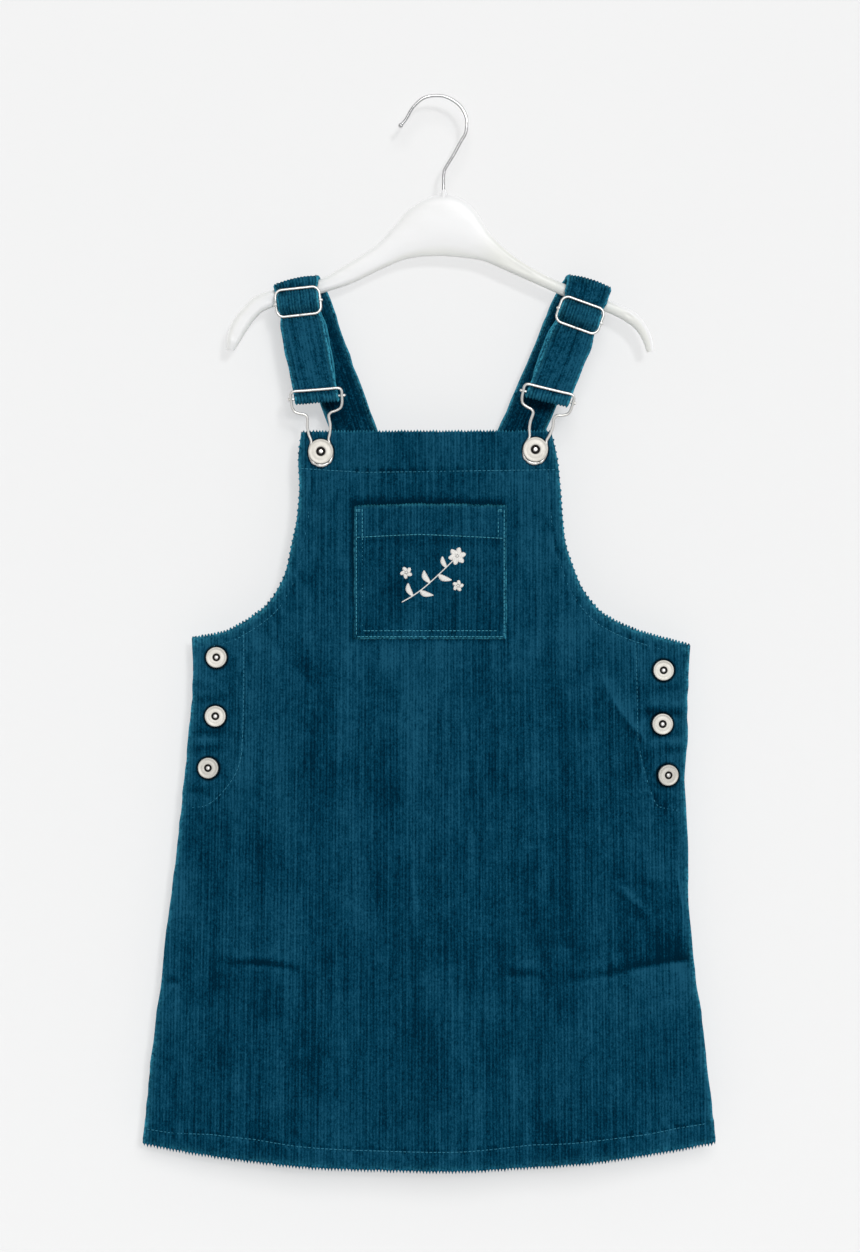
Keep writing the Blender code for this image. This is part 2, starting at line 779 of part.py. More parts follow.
def hanger_body(material):
    points = []
    for upper_x, upper_z, lower_x, lower_z in HANGER_STATIONS:
        upper = Vector((upper_x, 0.0, upper_z))
        lower = Vector((lower_x, 0.0, lower_z))
        middle = (upper + lower) / 2
        half = (upper - lower) / 2
        thick = min(HANGER_HALF_THICK, half.length * 0.9)
        for k in range(HANGER_SIDES):
            turn = 2.0 * math.pi * (k + 0.5) / HANGER_SIDES
            c = math.cos(turn)
            s = math.sin(turn)
            size = (abs(c) ** HANGER_ROUNDING + abs(s) ** HANGER_ROUNDING) ** (-1.0 / HANGER_ROUNDING)
            points.append(middle + half * (c * size) + Vector((0.0, s * size * thick, 0.0)))
    faces = []
    last = len(HANGER_STATIONS) - 1
    for i in range(last):
        for k in range(HANGER_SIDES):
            a = i * HANGER_SIDES + k
            b = i * HANGER_SIDES + (k + 1) % HANGER_SIDES
            faces.append((a, b, b + HANGER_SIDES, a + HANGER_SIDES))
    faces.append(tuple(range(HANGER_SIDES)))
    faces.append(tuple(range(last * HANGER_SIDES, (last + 1) * HANGER_SIDES)))
    return make_object("hanger_body", points, faces, material)


def hanger_hook(material):
    path = curve_through([(x, 0.0, z) for x, z in HOOK_WIRE], steps=2)
    return tube("hanger_hook", path, HOOK_R, HOOK_SIDES, False, material)


def main():
    clear_objects()
    materials = make_materials()
    panel("front_panel", FRONT_ARMHOLE, True, materials["corduroy"])
    panel("back_panel", BACK_ARMHOLE, False, materials["corduroy"])
    pocket(materials["corduroy"])
    buttons(materials["metal"])
    for side in ("left", "right"):
        strap(side, materials["strap_corduroy"])
        slider(side, materials["metal"])
        buckle(side, materials["metal"])
    hanger_body(materials["hanger_plastic"])
    hanger_hook(materials["hook_wire"])


main()
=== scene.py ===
"""Looks of a corduroy pinafore dress on a plastic hanger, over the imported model's frame.

Tables are in millimetres, in the model's frame: +Z up, +X the viewer's right, the front facing -Y,
the origin at the inside top of the hanger's hook. Meshes are made in metres.
"""

import json
import math

import bmesh
import bpy
import numpy as np
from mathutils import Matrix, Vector

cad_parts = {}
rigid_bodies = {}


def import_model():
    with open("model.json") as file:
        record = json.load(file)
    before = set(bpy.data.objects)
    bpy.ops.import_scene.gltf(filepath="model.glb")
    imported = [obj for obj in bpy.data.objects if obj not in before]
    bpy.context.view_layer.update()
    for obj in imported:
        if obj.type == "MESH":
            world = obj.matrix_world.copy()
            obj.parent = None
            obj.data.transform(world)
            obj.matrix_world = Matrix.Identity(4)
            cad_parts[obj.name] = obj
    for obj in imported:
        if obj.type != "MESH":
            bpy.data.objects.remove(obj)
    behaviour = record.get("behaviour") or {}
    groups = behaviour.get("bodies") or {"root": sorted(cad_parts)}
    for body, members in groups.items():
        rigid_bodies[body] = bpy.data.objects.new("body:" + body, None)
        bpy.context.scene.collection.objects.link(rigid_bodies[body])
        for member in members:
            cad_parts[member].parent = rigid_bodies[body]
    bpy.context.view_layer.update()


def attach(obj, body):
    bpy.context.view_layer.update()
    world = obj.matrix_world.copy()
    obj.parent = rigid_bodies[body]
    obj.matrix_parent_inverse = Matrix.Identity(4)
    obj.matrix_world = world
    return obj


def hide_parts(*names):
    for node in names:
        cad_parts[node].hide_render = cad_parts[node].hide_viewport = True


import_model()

MM = 0.001

# ---------------------------------------------------------------- sizes shared with the solids
# The hook, its collar and the sliders lie a little off their solids. Left and right are the viewer's.

SEAM_GAP = 0.3  # between the front and the back at the side seams
SECTION_POWER = 2.4  # how squarely the body's section fills out between the seams
TOP_BAND = 30.0
HEM_BAND = 15.5
# Side seams: share down the body, x of the left one, x of the right one
SIDE_SEAMS = (
    (0.00, -187.7, 192.6), (0.05, -187, 191.3), (0.12, -188, 190.1), (0.20, -190.5, 190.4),
    (0.27, -192.5, 187.8), (0.32, -194.9, 189.4), (0.42, -199.6, 190.9), (0.52, -204.3, 191.7),
    (0.62, -208.4, 194.9), (0.68, -211.2, 197.5), (0.76, -215.3, 201.7), (0.84, -219.2, 205.1),
    (0.92, -221.9, 208.6), (1.00, -225, 211.7),
)
UNDERARM_Z = (-411.2, -416.8)  # left, right
HEM_CORNER_Z = (-796.7, -796.0)
HEM_DROP = 19.0  # how much lower the hem's middle hangs than its corners
HEM_DROP_POWER = 2.1
HEM_DROP_START = 0.45
# Edges from the top to the underarms: x and z of the left one, x and z of the right one
FRONT_ARMHOLE = (
    (-104.1, -254.2, 86.4, -253.8), (-106.2, -275, 90.8, -275), (-105.3, -297, 93.1, -297),
    (-107.4, -321, 94.9, -321), (-111.3, -340, 97.3, -340), (-115, -358, 103.2, -358),
    (-120.8, -372, 109, -372), (-129.7, -385.3, 118.2, -385.3), (-140.8, -394.4, 128.1, -394.4),
    (-156, -403.6, 146.8, -403.6), (-168, -408, 165.7, -409.6), (-187.7, -411.2, 192.6, -416.8),
)
BACK_ARMHOLE = (
    (-56, -340.5, 50.6, -340.5), (-66, -361, 60.4, -361), (-82.1, -380.8, 76.6, -381.4),
    (-104.9, -396, 98.8, -397), (-133.8, -405.8, 127.7, -407.4), (-161, -410.2, 159.6, -413.6),
    (-187.7, -411.2, 192.6, -416.8),
)
# How far the panels stand out from the plane of the seams: z, front, back
PANEL_DEPTH = (
    (-820, 17.5, 16.5), (-600, 13, 12), (-415, 9.5, 9.4), (-250, 9.5, 9.3),
)
# Hanging folds: place across from -1 to 1, width, height, share down the body where one begins
FRONT_FOLDS = (
    (-0.78, 0.13, 1.6, 0.25), (-0.46, 0.12, 3.2, 0.12), (-0.19, 0.12, -2.4, 0.20),
    (0.07, 0.12, 2.6, 0.10), (0.33, 0.12, -2.6, 0.22), (0.59, 0.13, 3.2, 0.18), (0.84, 0.10, -1.2, 0.40),
)
BACK_FOLDS = (
    (-0.70, 0.13, 2.8, 0.20), (-0.40, 0.13, -2.6, 0.15), (-0.08, 0.14, 3.4, 0.08),
    (0.24, 0.12, -2.2, 0.22), (0.52, 0.13, 2.8, 0.14), (0.80, 0.11, -1.4, 0.35),
)

POCKET_LEFT = -63.8
POCKET_RIGHT = 52.2
POCKET_TOP = -310.6
POCKET_BOTTOM = -412.0
POCKET_BAND = 24.0

STRAP_WIDTH = 34.0
# Width of the strap in front: distance below the slider's top, width
STRAP_PINCH = ((-2.2, 34.0), (1.6, 30.8), (20.4, 30.8), (28.0, 33.6))
STRAP_FOLD_BLEND = 5.0
# Top fold's x, z and tilt, then the rear end's x, z and tilt
STRAP_FOLDS = {
    "left": (-107.6, -137.4, 12.0, -26.2, -359.5, 20.5),
    "right": (115.0, -138.4, -16.6, 19.6, -359.5, -23.4),
}
STRAP_BOW = {"left": -1.9, "right": 2.6}
STRAP_BOW_POWER = 0.6
STRAP_REAR_BOW = {"left": 2.0, "right": -2.6}
STRAP_REAR_BLEND = 7.0
SLIDER_TILT = {"left": 6.3, "right": -19.8}
WIRE_R = 1.05
SLIDER_HALF_WIDTH = 16.8
SLIDER_DOWN = {"left": 8.4, "right": 18.9}  # from the fold to the slider's top
SLIDER_BAR = 10.7  # from the slider's top to its middle bar
SLIDER_HEIGHT = 20.4
SLIDER_CORNER = 5.2
SLIDER_DEPTH = 11.5
BAR_LOOP_R = 2.6
BUCKLE_BAR_V = 41.4
BUCKLE_BAR_DEPTH = 13.0
BUCKLE_BAR_HALF = 20.8
BUCKLE_LOOP_R = 2.75
BUCKLE_SEAT = 0.8
BUCKLE_LEAN = {"left": 4.5, "right": -13.5}
# Right half of the buckle's wire: across and up from the button
BUCKLE_WIRE = (
    (0, 47), (9, 47), (16.6, 47), (19.2, 45.2), (19.3, 41.5), (19, 35.6), (17.4, 32), (13.8, 30.2),
    (10.2, 29.2), (8.2, 26.6), (8.7, 20), (8, 13.8), (6.6, 8.4), (8.2, 2.6), (8.4, -3), (6, -8),
    (0, -10.2),
)
# How far the wire stands off the cloth: height above the button, distance
BUCKLE_STAND = ((-11.0, 0.0), (10.0, 0.1), (27.0, 1.9), (41.4, 4.1), (47.0, 5.2))
BIB_BUTTONS = {"left": (-88.9, -269.8), "right": (74.0, -268.3)}
SIDE_BUTTONS = {
    "left": ((-168.7, -426.0), (-169.5, -470.8), (-174.8, -510.3)),
    "right": ((171.8, -435.8), (171.0, -476.7), (175.2, -515.6)),
}
# The hanger from tip to tip: x and z of its upper edge, x and z of its lower edge
HANGER_STATIONS = (
    (-161.2, -191.2, -155.4, -192), (-160.4, -179.9, -150.8, -185), (-155.9, -168.4, -145.2, -175.8),
    (-148.2, -158.8, -139.2, -167.7), (-136.5, -149.2, -130, -160.5), (-107.9, -141.4, -104, -152.8),
    (-89, -137.2, -84, -146.8), (-72, -127.6, -66, -140.8), (-48, -112.4, -43, -129.8),
    (-33, -96.5, -26, -122.8), (-23, -85.2, -13, -120.4), (-9, -76, -3, -119.9), (4.2, -73, 4.2, -119.8),
    (17, -75.6, 12, -120.4), (28.6, -85, 21, -121.3), (40.5, -103, 35, -123.7), (58, -119.6, 53, -131.4),
    (84, -135.4, 80, -143.4), (114, -148, 110, -156.6), (137, -156.4, 131, -163.6),
    (149.8, -162.2, 143.2, -170), (157.4, -170.2, 150.8, -176), (162.8, -181.2, 156, -184),
    (164.6, -192, 159.4, -193.4),
)
HANGER_HALF_THICK = 4.4
HANGER_ROUNDING = 2.6
HANGER_RIM = 3.4  # width of the raised rims
HANGER_HOLLOW = 0.08  # depth of the hollow between them, as a share of the thickness
# The hook from its tip to its foot: x, z
HOOK_WIRE = (
    (-28.1, -19.9), (-24.5, -15.8), (-20.8, -9.1), (-17.5, -4.8), (-11.4, 0.4), (-3.8, 2.4), (4.6, 2),
    (12.7, -1.8), (18.2, -7), (21.5, -13.6), (22, -20), (20.9, -26.6), (17.5, -32.5), (12.2, -42.2),
    (5.7, -53), (4.6, -56.8), (4.3, -62), (4.3, -73.4),
)
HOOK_R = 1.3
HOOK_BALL_R = 2.0
HOOK_FOOT_Z = -74.2
# Collar that the hook is set in: radius, height above the foot
HOOK_COLLAR = ((2.6, -6.0), (2.6, 0.8), (2.4, 2.6), (2.1, 3.8), (1.75, 4.5), (1.45, 4.8))

# ---------------------------------------------------------------- sizes of the looks alone

WALE = 2.4  # from one cord of the corduroy to the next
WALE_FAN = 0.03  # how much wider apart the wales are at the hem
WALE_NUMBERS = (-102, 100)  # first and last cord, counted from the body's middle
WALE_STEPS = (0.0, 0.78, 1.0, 0.78)  # a cord's height at its four columns
CLOTH_BASE = 1.2  # bottom of the grooves above the inner face
CORD_HEIGHT = 0.65
EDGE_FALL = 1.7  # how far from a turned edge the cloth begins to round over
TOP_FOLD_R = 1.5
HEM_FOLD_R = 1.7
ARMHOLE_STITCH = 8.5
STITCH = 2.9  # length of one stitch
STITCH_PITCH = 3.3
STITCH_RISE = 0.14
STITCH_SIDES = 5
THREAD_R = 0.3
WIRE_SIDES = 12
CREASE_GAIN = 1.4
BUTTON_SEGMENTS = 48
BUCKLE_TIP_R = 1.25
BUCKLE_NECK = 0.9  # from a tip of the bar to where it is thin
SLIDER_TIP_R = 1.15
SLIDER_NECK = 1.7
SLIDER_BAR_R = 0.95
SLIDER_TIP_OUT = 0.9  # how far the bar reaches past the middle of the side wires
# Eyes of the slider's bar round the side wires: along the wire, radius
SLIDER_EYE = ((-1.3, 1.15), (-1.0, 1.4), (1.0, 1.4), (1.3, 1.15))
SLIDER_EYE_SIDES = 14
HANGER_SIDES = 36
HANGER_STEPS = 7
COLLAR_SIDES = 32
HOOK_SIDES = 16
STRAP_STEPS = (0.45, 3.4)  # least and most from one ring of the strap to the next
STRAP_TURN = 7.0  # degrees of turn that call for a ring
FORWARD = np.array([0.0, -1.0, 0.0])
SIDE_BUTTON_R = 8.35
BIB_BUTTON_R = 9.35

# Creases of the front: x, z of both ends, width, depth of the trough, height of the ridge above
# it, how far its middle bows upward
FRONT_CREASES = (
    (208, -655.2, 146, -662.3, 8.5, 2.9, 0.9, 0.3), (208, -655.6, 146, -662.7, 2, 0.9, 0, 0.3),
    (168, -659.6, 97, -672.8, 3.2, 1.5, 0.8, -0.6), (52, -667.6, 78, -668.4, 2.6, 0.8, 0.8, 0.3),
    (205, -648, 188, -640, 3, 1.1, 0.7, 0), (181.5, -590, 186, -642, 2, -1.8, -0.3, 2),
    (150, -597, 168, -604, 3, 0.9, 0.4, 0.5), (92, -645.4, 105.5, -640.8, 2.4, 0.7, 0.5, 0),
    (-163, -661, -104, -664.4, 2.2, 1.15, 0.6, 3.2), (-214, -676.4, -196, -672, 2.6, 1.4, 0.6, 0),
    (-111, -725, -150, -763, 5, 1, 0.5, -6), (-118, -757, -152, -764, 4, 0.7, 0.4, 0),
    (134, -598, 162, -623.5, 2.4, -1.4, -0.3, 0), (185, -596, 197, -632, 3.4, -1.4, -0.4, 0),
    (122, -434, 160, -492, 5.4, -1.9, -0.9, -4), (-192, -461, -158, -458, 2.2, 1, 1.2, 0.6),
    (-192, -449.5, -164, -452.5, 2.2, 0.8, 0.6, 0.4), (-194, -486.5, -158, -483, 2.4, 1.2, 0.5, -0.8),
    (-196, -500.5, -166, -495, 2.2, 0.9, 1.1, 0.3), (-206, -527, -170, -531, 2.8, 1, 0.6, 0.6),
    (194, -470.8, 156, -470.2, 2.2, 1.3, 1.5, 1.5), (192, -450, 160, -453, 2.4, 0.9, 0.5, 0.6),
    (194, -487.4, 156, -488.4, 2.4, 1.6, 0.3, 1.8), (196, -499, 168, -498, 2.2, 0.8, 0.7, 0.8),
    (196, -528, 164, -525, 2.6, 0.9, 0.5, 0.4), (-140, -402, -92, -452, 7, 0.9, 0.6, 3),
    (138, -408, 84, -466, 7, 0.9, 0.6, -3), (-60, -560, -44, -640, 6, 0.7, 0.5, 2),
    (30, -700, 44, -775, 6, 0.8, 0.6, -2),
)
BACK_CREASES = (
    (-196, -642, -124, -655, 3.6, 1.6, 1, 1), (-80, -660, -38, -657, 2.8, 1.1, 0.7, -0.8),
    (60, -648, 126, -662, 3.2, 1.4, 0.9, 2), (150, -676, 194, -668, 3, 1.5, 0.8, 0.6),
    (100, -728, 142, -764, 5, 0.9, 0.5, 5), (-150, -716, -112, -768, 5, 0.8, 0.5, -4),
    (-190, -452, -150, -457, 2.8, 0.8, 0.5, 0.8), (190, -470, 152, -474, 2.8, 0.8, 0.5, 0.8),
    (-96, -398, -60, -448, 7, 1, 0.7, 3), (92, -402, 54, -460, 7, 1, 0.7, -3),
    (-20, -560, -30, -640, 6, 0.8, 0.5, 2),
)
BACK_HEM_RISE = 1.9  # so that the front's hem hides the back's
# Sewn boxes that hold the straps on the back: x, z, width, height
STRAP_BOXES = ((-24.0, -350.5, 27.0, 13.0), (17.5, -350.5, 27.0, 13.0))
# Lines of stitching that end each side opening, down the front and round to the side seam: x, z
LEFT_STITCHES = (
    (-147.8, -405.1), (-147.8, -456.8), (-149, -491), (-150.5, -504.6),
    (-155.8, -517.6), (-166.4, -531.2), (-177.1, -538.8), (-190, -540.6),
)
RIGHT_STITCHES = (
    (150.5, -411), (152, -460), (153.1, -494), (164.5, -534.3), (174, -541.1), (188, -542.8),
)

# Broad lighter and darker places, partly painted light and shade: x, z, how far they reach across and down,
# change
TONES = (
    (95, -520, 62, 75, -0.12), (-214, -620, 24, 190, 0.26), (202, -620, 24, 190, 0.3),
    (-182, -466, 14, 44, 0.12), (185, -476, 12, 44, 0.2), (165, -680, 45, 16, 0.12),
    (165, -640, 26, 16, -0.14), (160, -740, 50, 40, -0.06), (86, -360, 26, 60, 0.1),
)

# Where two lines of stitching stray from true: x, how much higher
TOP_STRAYS = (
    (-105, 2), (-85, 0.7), (-57, -1.1), (-10, -0.5), (60, 0.6), (90, 1),
)
HEM_STRAYS = (
    (-225, -4), (-204, -3.3), (-173, 0.8), (-140, 1.5), (-105, -0.3), (-60, -0.9), (20, -0.8), (47, 0.3),
    (70, 1.6), (100, 0.7), (130, 0.8), (161, 0.1), (184, 1), (207, 0.2),
)

# Colours, linear
CORD_DARK = (0.0001, 0.0162, 0.0345)
# Painted contact shadow round the buttons
CORD_CONTACT_SHADOW = (0.0002, 0.0030, 0.0060)
CORD_MID = (0.0016, 0.0415, 0.0815)
CORD_LIGHT = (0.0100, 0.0860, 0.1500)
CORD_WORN = (0.0500, 0.3300, 0.4600)
THREAD_TEAL = (0.0450, 0.2600, 0.3900)
THREAD_DARK = (0.0120, 0.1100, 0.1700)
THREAD_PALE = (0.0800, 0.3900, 0.5200)
THREAD_WHITE = (0.8800, 0.8650, 0.8300)
CORD_SHEEN = (0.05, 0.5, 0.7, 1.0)
PLASTIC_WHITE = (0.836, 0.838, 0.84)
PLASTIC_SCUFFED = (0.816, 0.817, 0.815)
# Painted shade on the hanger
PLASTIC_SHADE = (0.76, 0.765, 0.73)
WALL_LIGHT = (0.43, 0.43, 0.43)
WALL_DARK = (0.422, 0.423, 0.423)


# ---------------------------------------------------------------- small helpers


def ease(x):
    x = np.clip(x, 0.0, 1.0)
    return x * x * (3.0 - 2.0 * x)


def column(table, key, index):
    """A column of a table whose first column rises, at one key or an array of them."""
    rows = np.array(table)
    return np.interp(key, rows[:, 0], rows[:, index])


def noise(u, v, seed):
    """Smooth repeatable noise from -1 to 1, its humps about one unit across."""
    u, v = np.broadcast_arrays(np.asarray(u, float), np.asarray(v, float))
    cell_u, cell_v = np.floor(u), np.floor(v)
    share_u, share_v = ease(u - cell_u), ease(v - cell_v)

    def corner(i, j):
        spread = np.sin((cell_u + i) * 127.1 + (cell_v + j) * 311.7 + seed * 74.7) * 43758.5453
        return 2.0 * (spread - np.floor(spread)) - 1.0

    low = corner(0, 0) * (1 - share_u) + corner(1, 0) * share_u
    high = corner(0, 1) * (1 - share_u) + corner(1, 1) * share_u
    return low * (1 - share_v) + high * share_v


def curve_through(points, closed=False, steps=8):
    """Points on a smooth curve through the given ones (Catmull-Rom), steps to each stretch."""
    points = np.array(points, float)
    if closed:
        before, after, second = (np.roll(points, shift, 0) for shift in (1, -1, -2))
    else:
        padded = np.vstack([2 * points[0] - points[1], points, 2 * points[-1] - points[-2]])
        before, points, after, second = padded[:-3], padded[1:-2], padded[2:-1], padded[3:]
    curve = []
    for a, b, c, d in zip(before, points, after, second):
        for t in np.arange(steps) / steps:
            bend = (2 * a - 5 * b + 4 * c - d) * t**2 + (3 * b - a - 3 * c + d) * t**3
            curve.append(0.5 * (2 * b + (c - a) * t + bend))
    if not closed:
        curve.append(after[-1])
    return np.array(curve)


def unit(vector):
    return vector / np.linalg.norm(vector)


def bell(x, width):
    """1 where x is 0, fading within about a width on both sides."""
    return np.exp(-((x / width) ** 2))


def rounded(distance, fall):
    """Height of a rounded edge: 0 at the edge, 1 from the fall inward."""
    return np.sqrt(1.0 - (1.0 - np.clip(distance / fall, 0.0, 1.0)) ** 2)


def lengths_along(points):
    steps = np.linalg.norm(np.diff(points, axis=0), axis=1)
    return np.concatenate([[0.0], np.cumsum(steps)])


def at_lengths(points, where):
    """Points of a polyline at the given distances along it."""
    lengths = lengths_along(points)
    return np.stack([np.interp(where, lengths, points[:, k]) for k in range(points.shape[1])], -1)


def stations(length, step, zones=()):
    """Distances from 0 to length, step apart, and closer inside zones of (start, end, step)."""
    places = [0.0]
    while places[-1] < length:
        here = places[-1]
        pace = min([step] + [z[2] for z in zones if z[0] - step <= here <= z[1]])
        places.append(here + pace)
    places = np.array(places)
    return places * length / places[-1]


def distance_to(points, line):
    """Distance of each of (..., 2) points from a polyline."""
    flat = points.reshape(-1, 1, 2)
    start, end = line[:-1], line[1:]
    along = end - start
    share = ((flat - start) * along).sum(-1) / np.maximum((along**2).sum(-1), 1e-9)
    nearest = start + np.clip(share, 0.0, 1.0)[..., None] * along
    return np.linalg.norm(flat - nearest, axis=-1).min(1).reshape(points.shape[:-1])


def offset_line(line, distance):
    """A polyline moved sideways, to the left of its own direction."""
    along = np.gradient(line, axis=0)
    along /= np.linalg.norm(along, axis=1, keepdims=True)
    return line + distance * np.stack([-along[:, 1], along[:, 0]], -1)


class Shape:
    """Points in millimetres with their place in the cloth, and the faces between them."""

    # Attributes of a point: name, type, what one value is called, how many numbers it has
    MARKS = (
        ("weave", "FLOAT_VECTOR", "vector", 3),
        ("rib", "FLOAT", "value", 1),
        ("wear_and_shade", "FLOAT", "value", 1),
        ("tone_and_shade", "FLOAT", "value", 1),
    )

    def __init__(self):
        self.points = []
        self.marks = {name: [] for name, *_ in self.MARKS}
        self.faces, self.slots = [], []
        self.count = 0

    def add(self, points, weave=0.0, rib=0.5, wear_and_shade=0.0, tone_and_shade=0.0):
        """Adds an array of points, and gives their numbers in the same arrangement."""
        points = np.asarray(points, float)
        lead = points.shape[:-1]
        self.points.append(points.reshape(-1, 3))
        for (name, _, _, width), value in zip(self.MARKS, (weave, rib, wear_and_shade, tone_and_shade)):
            shape = lead + (3,) if width == 3 else lead
            self.marks[name].append(np.broadcast_to(value, shape).reshape(-1))
        numbers = self.count + np.arange(int(np.prod(lead))).reshape(lead)
        self.count += numbers.size
        return numbers

    def ring(self, centre, first, second, radius, count, offset=0.0, dull=False):
        """Adds a circle of points; dull gives its two sides painted shade. Its first number comes twice."""
        turns = 2.0 * np.pi * (np.arange(count) + offset) / count
        outward = np.cos(turns)[:, None] * first + np.sin(turns)[:, None] * second
        wear_and_shade = ease(1.0 - np.abs(outward[:, 1])) if dull else 0.0
        numbers = self.add(centre + radius * outward, wear_and_shade=wear_and_shade)
        return np.append(numbers, numbers[0])

    def face(self, corners, slot=0):
        """One face; corners that fall on each other are left out."""
        kept = [int(v) for i, v in enumerate(corners) if v != corners[i - 1]]
        if len(kept) > 2:
            self.faces.append(kept)
            self.slots.append(slot)

    def sheet(self, grid, slot=0):
        """Faces between neighbouring rows and columns of a grid of numbers."""
        corners = np.stack([grid[:-1, :-1], grid[1:, :-1], grid[1:, 1:], grid[:-1, 1:]], -1)
        for quad in corners.reshape(-1, 4).tolist():
            self.face(quad, slot)

    def tube(self, rings, slots=None, capped=True):
        """Faces between neighbouring rings and over both ends; slots has one for each band."""
        slots = slots or [0] * (len(rings) - 1)
        for i, slot in enumerate(slots):
            self.sheet(np.array(rings[i : i + 2]), slot)
        if capped:
            self.face(rings[0][:-1], slots[0])
            self.face(rings[-1][:-1], slots[-1])

    def join(self, fine, coarse, columns):
        """Faces between a row of numbers and a coarser one, whose points are at the columns."""
        for k, (a, b) in enumerate(zip(columns[:-1], columns[1:])):
            self.face([*fine[a : b + 1], coarse[k + 1], coarse[k]])

    def make(self, name, slot, materials, nodes=(), smooth_angle=None):
        """Makes the piece, on the body; nodes are the solids it stands for. The slot, its finish, is not
        used.
        """
        mesh = bpy.data.meshes.new(name)
        mesh.from_pydata(np.vstack(self.points) * MM, [], self.faces)
        for mark, kind, part, _ in self.MARKS:
            values = np.concatenate(self.marks[mark])
            mesh.attributes.new(mark, kind, "POINT").data.foreach_set(part, values)
        for material in materials:
            mesh.materials.append(material)
        mesh.polygons.foreach_set("material_index", self.slots)
        shape = bmesh.new()
        shape.from_mesh(mesh)
        bmesh.ops.recalc_face_normals(shape, faces=shape.faces)
        shape.to_mesh(mesh)
        shape.free()
        mesh.shade_smooth()
        if smooth_angle:
            mesh.set_sharp_from_angle(angle=math.radians(smooth_angle))
        ob = bpy.data.objects.new(name, mesh)
        bpy.context.scene.collection.objects.link(ob)
        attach(ob, "root")
        if nodes:
            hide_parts(*nodes)
        return ob


# ---------------------------------------------------------------- materials


class Nodes:
    """A material's node tree, built by short calls."""

    def __init__(self, name):
        self.material = bpy.data.materials.new(name)
        self.material.use_nodes = True
        self.tree = self.material.node_tree
        self.shader = self.tree.nodes["Principled BSDF"]

    def node(self, kind, values=None, **settings):
        node = self.tree.nodes.new(kind)
        for key, value in settings.items():
            setattr(node, key, value)
        for key, value in (values or {}).items():
            self.feed(node.inputs[key], value)
        return node

    def feed(self, socket, value):
        if isinstance(value, bpy.types.NodeSocket):
            self.tree.links.new(value, socket)
        else:
            socket.default_value = value

    def math(self, operation, a, b=0.0, c=0.0):
        return self.node("ShaderNodeMath", {0: a, 1: b, 2: c}, operation=operation).outputs[0]

    def attribute(self, name, part):
        return self.node("ShaderNodeAttribute", attribute_name=name).outputs[part]

    def stretched(self, vector, x, y, z):
        """A vector with its three parts scaled."""
        scaled = self.node("ShaderNodeVectorMath", {0: vector, 1: (x, y, z)}, operation="MULTIPLY")
        return scaled.outputs[0]

    def noise(self, vector, scale, detail=2.0, roughness=0.5):
        values = {"Vector": vector, "Scale": scale, "Detail": detail, "Roughness": roughness}
        return self.node("ShaderNodeTexNoise", values).outputs["Fac"]

    def spread(self, value, low, high):
        """A value from low to high turned into 0 to 1."""
        values = {"Value": value, "From Min": low, "From Max": high}
        return self.node("ShaderNodeMapRange", values).outputs["Result"]

    def ramp(self, value, *stops):
        node = self.node("ShaderNodeValToRGB", {"Fac": value})
        elements = node.color_ramp.elements
        while len(elements) < len(stops):
            elements.new(0.5)
        for element, (place, colour) in zip(elements, stops):
            element.position = place
            element.color = (*colour, 1.0)
        return node.outputs["Color"]

    def mix(self, share, a, b):
        node = self.node("ShaderNodeMix", data_type="RGBA")
        self.feed(node.inputs["Factor"], share)
        for socket, colour in ((node.inputs[6], a), (node.inputs[7], b)):
            if isinstance(colour, tuple):
                colour = (*colour, 1.0)
            self.feed(socket, colour)
        return node.outputs[2]

    def bump(self, height, distance, strength=1.0):
        values = {"Height": height, "Distance": distance * MM, "Strength": strength}
        self.feed(self.shader.inputs["Normal"], self.node("ShaderNodeBump", values).outputs["Normal"])

    def set(self, **values):
        for key, value in values.items():
            self.feed(self.shader.inputs[key.replace("_", " ")], value)


def painted_contact_shade(n):
    """Shares from 1 to 0 where shadow is painted, on the outer face: round the buttons, and further out round
    the pocket.
    """
    coordinates = n.node("ShaderNodeTexCoord").outputs
    place = coordinates["Object"]
    facing = n.node("ShaderNodeSeparateXYZ", {0: coordinates["Normal"]}).outputs["Y"]
    outer = n.spread(facing, 0.1, -0.15)
    flat = n.stretched(place, 1.0, 0.0, 1.0)
    shade_round_button = 0.0
    buttons = [(x, z, SIDE_BUTTON_R) for x, z in SIDE_BUTTONS["left"] + SIDE_BUTTONS["right"]]
    buttons += [(x, z, BIB_BUTTON_R) for x, z in BIB_BUTTONS.values()]
    for x, z, radius in buttons:
        away = n.node("ShaderNodeVectorMath", {0: flat, 1: (x * MM, 0.0, z * MM)}, operation="DISTANCE")
        near = n.spread(away.outputs["Value"], (radius + 2.1) * MM, (radius + 0.5) * MM)
        shade_round_button = n.math("MAXIMUM", near, shade_round_button)
    parts = n.node("ShaderNodeSeparateXYZ", {0: place})
    beside = []
    spans = (("X", POCKET_LEFT, POCKET_RIGHT - 3.5), ("Z", POCKET_BOTTOM + 1.5, POCKET_TOP + 2.8))
    for part, low, high in spans:
        from_middle = n.math("SUBTRACT", parts.outputs[part], (low + high) / 2 * MM)
        beside.append(n.math("SUBTRACT", n.math("ABSOLUTE", from_middle), (high - low) / 2 * MM))
    shade_round_pocket = n.spread(n.math("MAXIMUM", *beside), 6.0 * MM, 0.0)
    shade_round_pocket = n.math("POWER", shade_round_pocket, 1.6)
    return n.math("MULTIPLY", shade_round_button, outer), n.math("MULTIPLY", shade_round_pocket, outer)


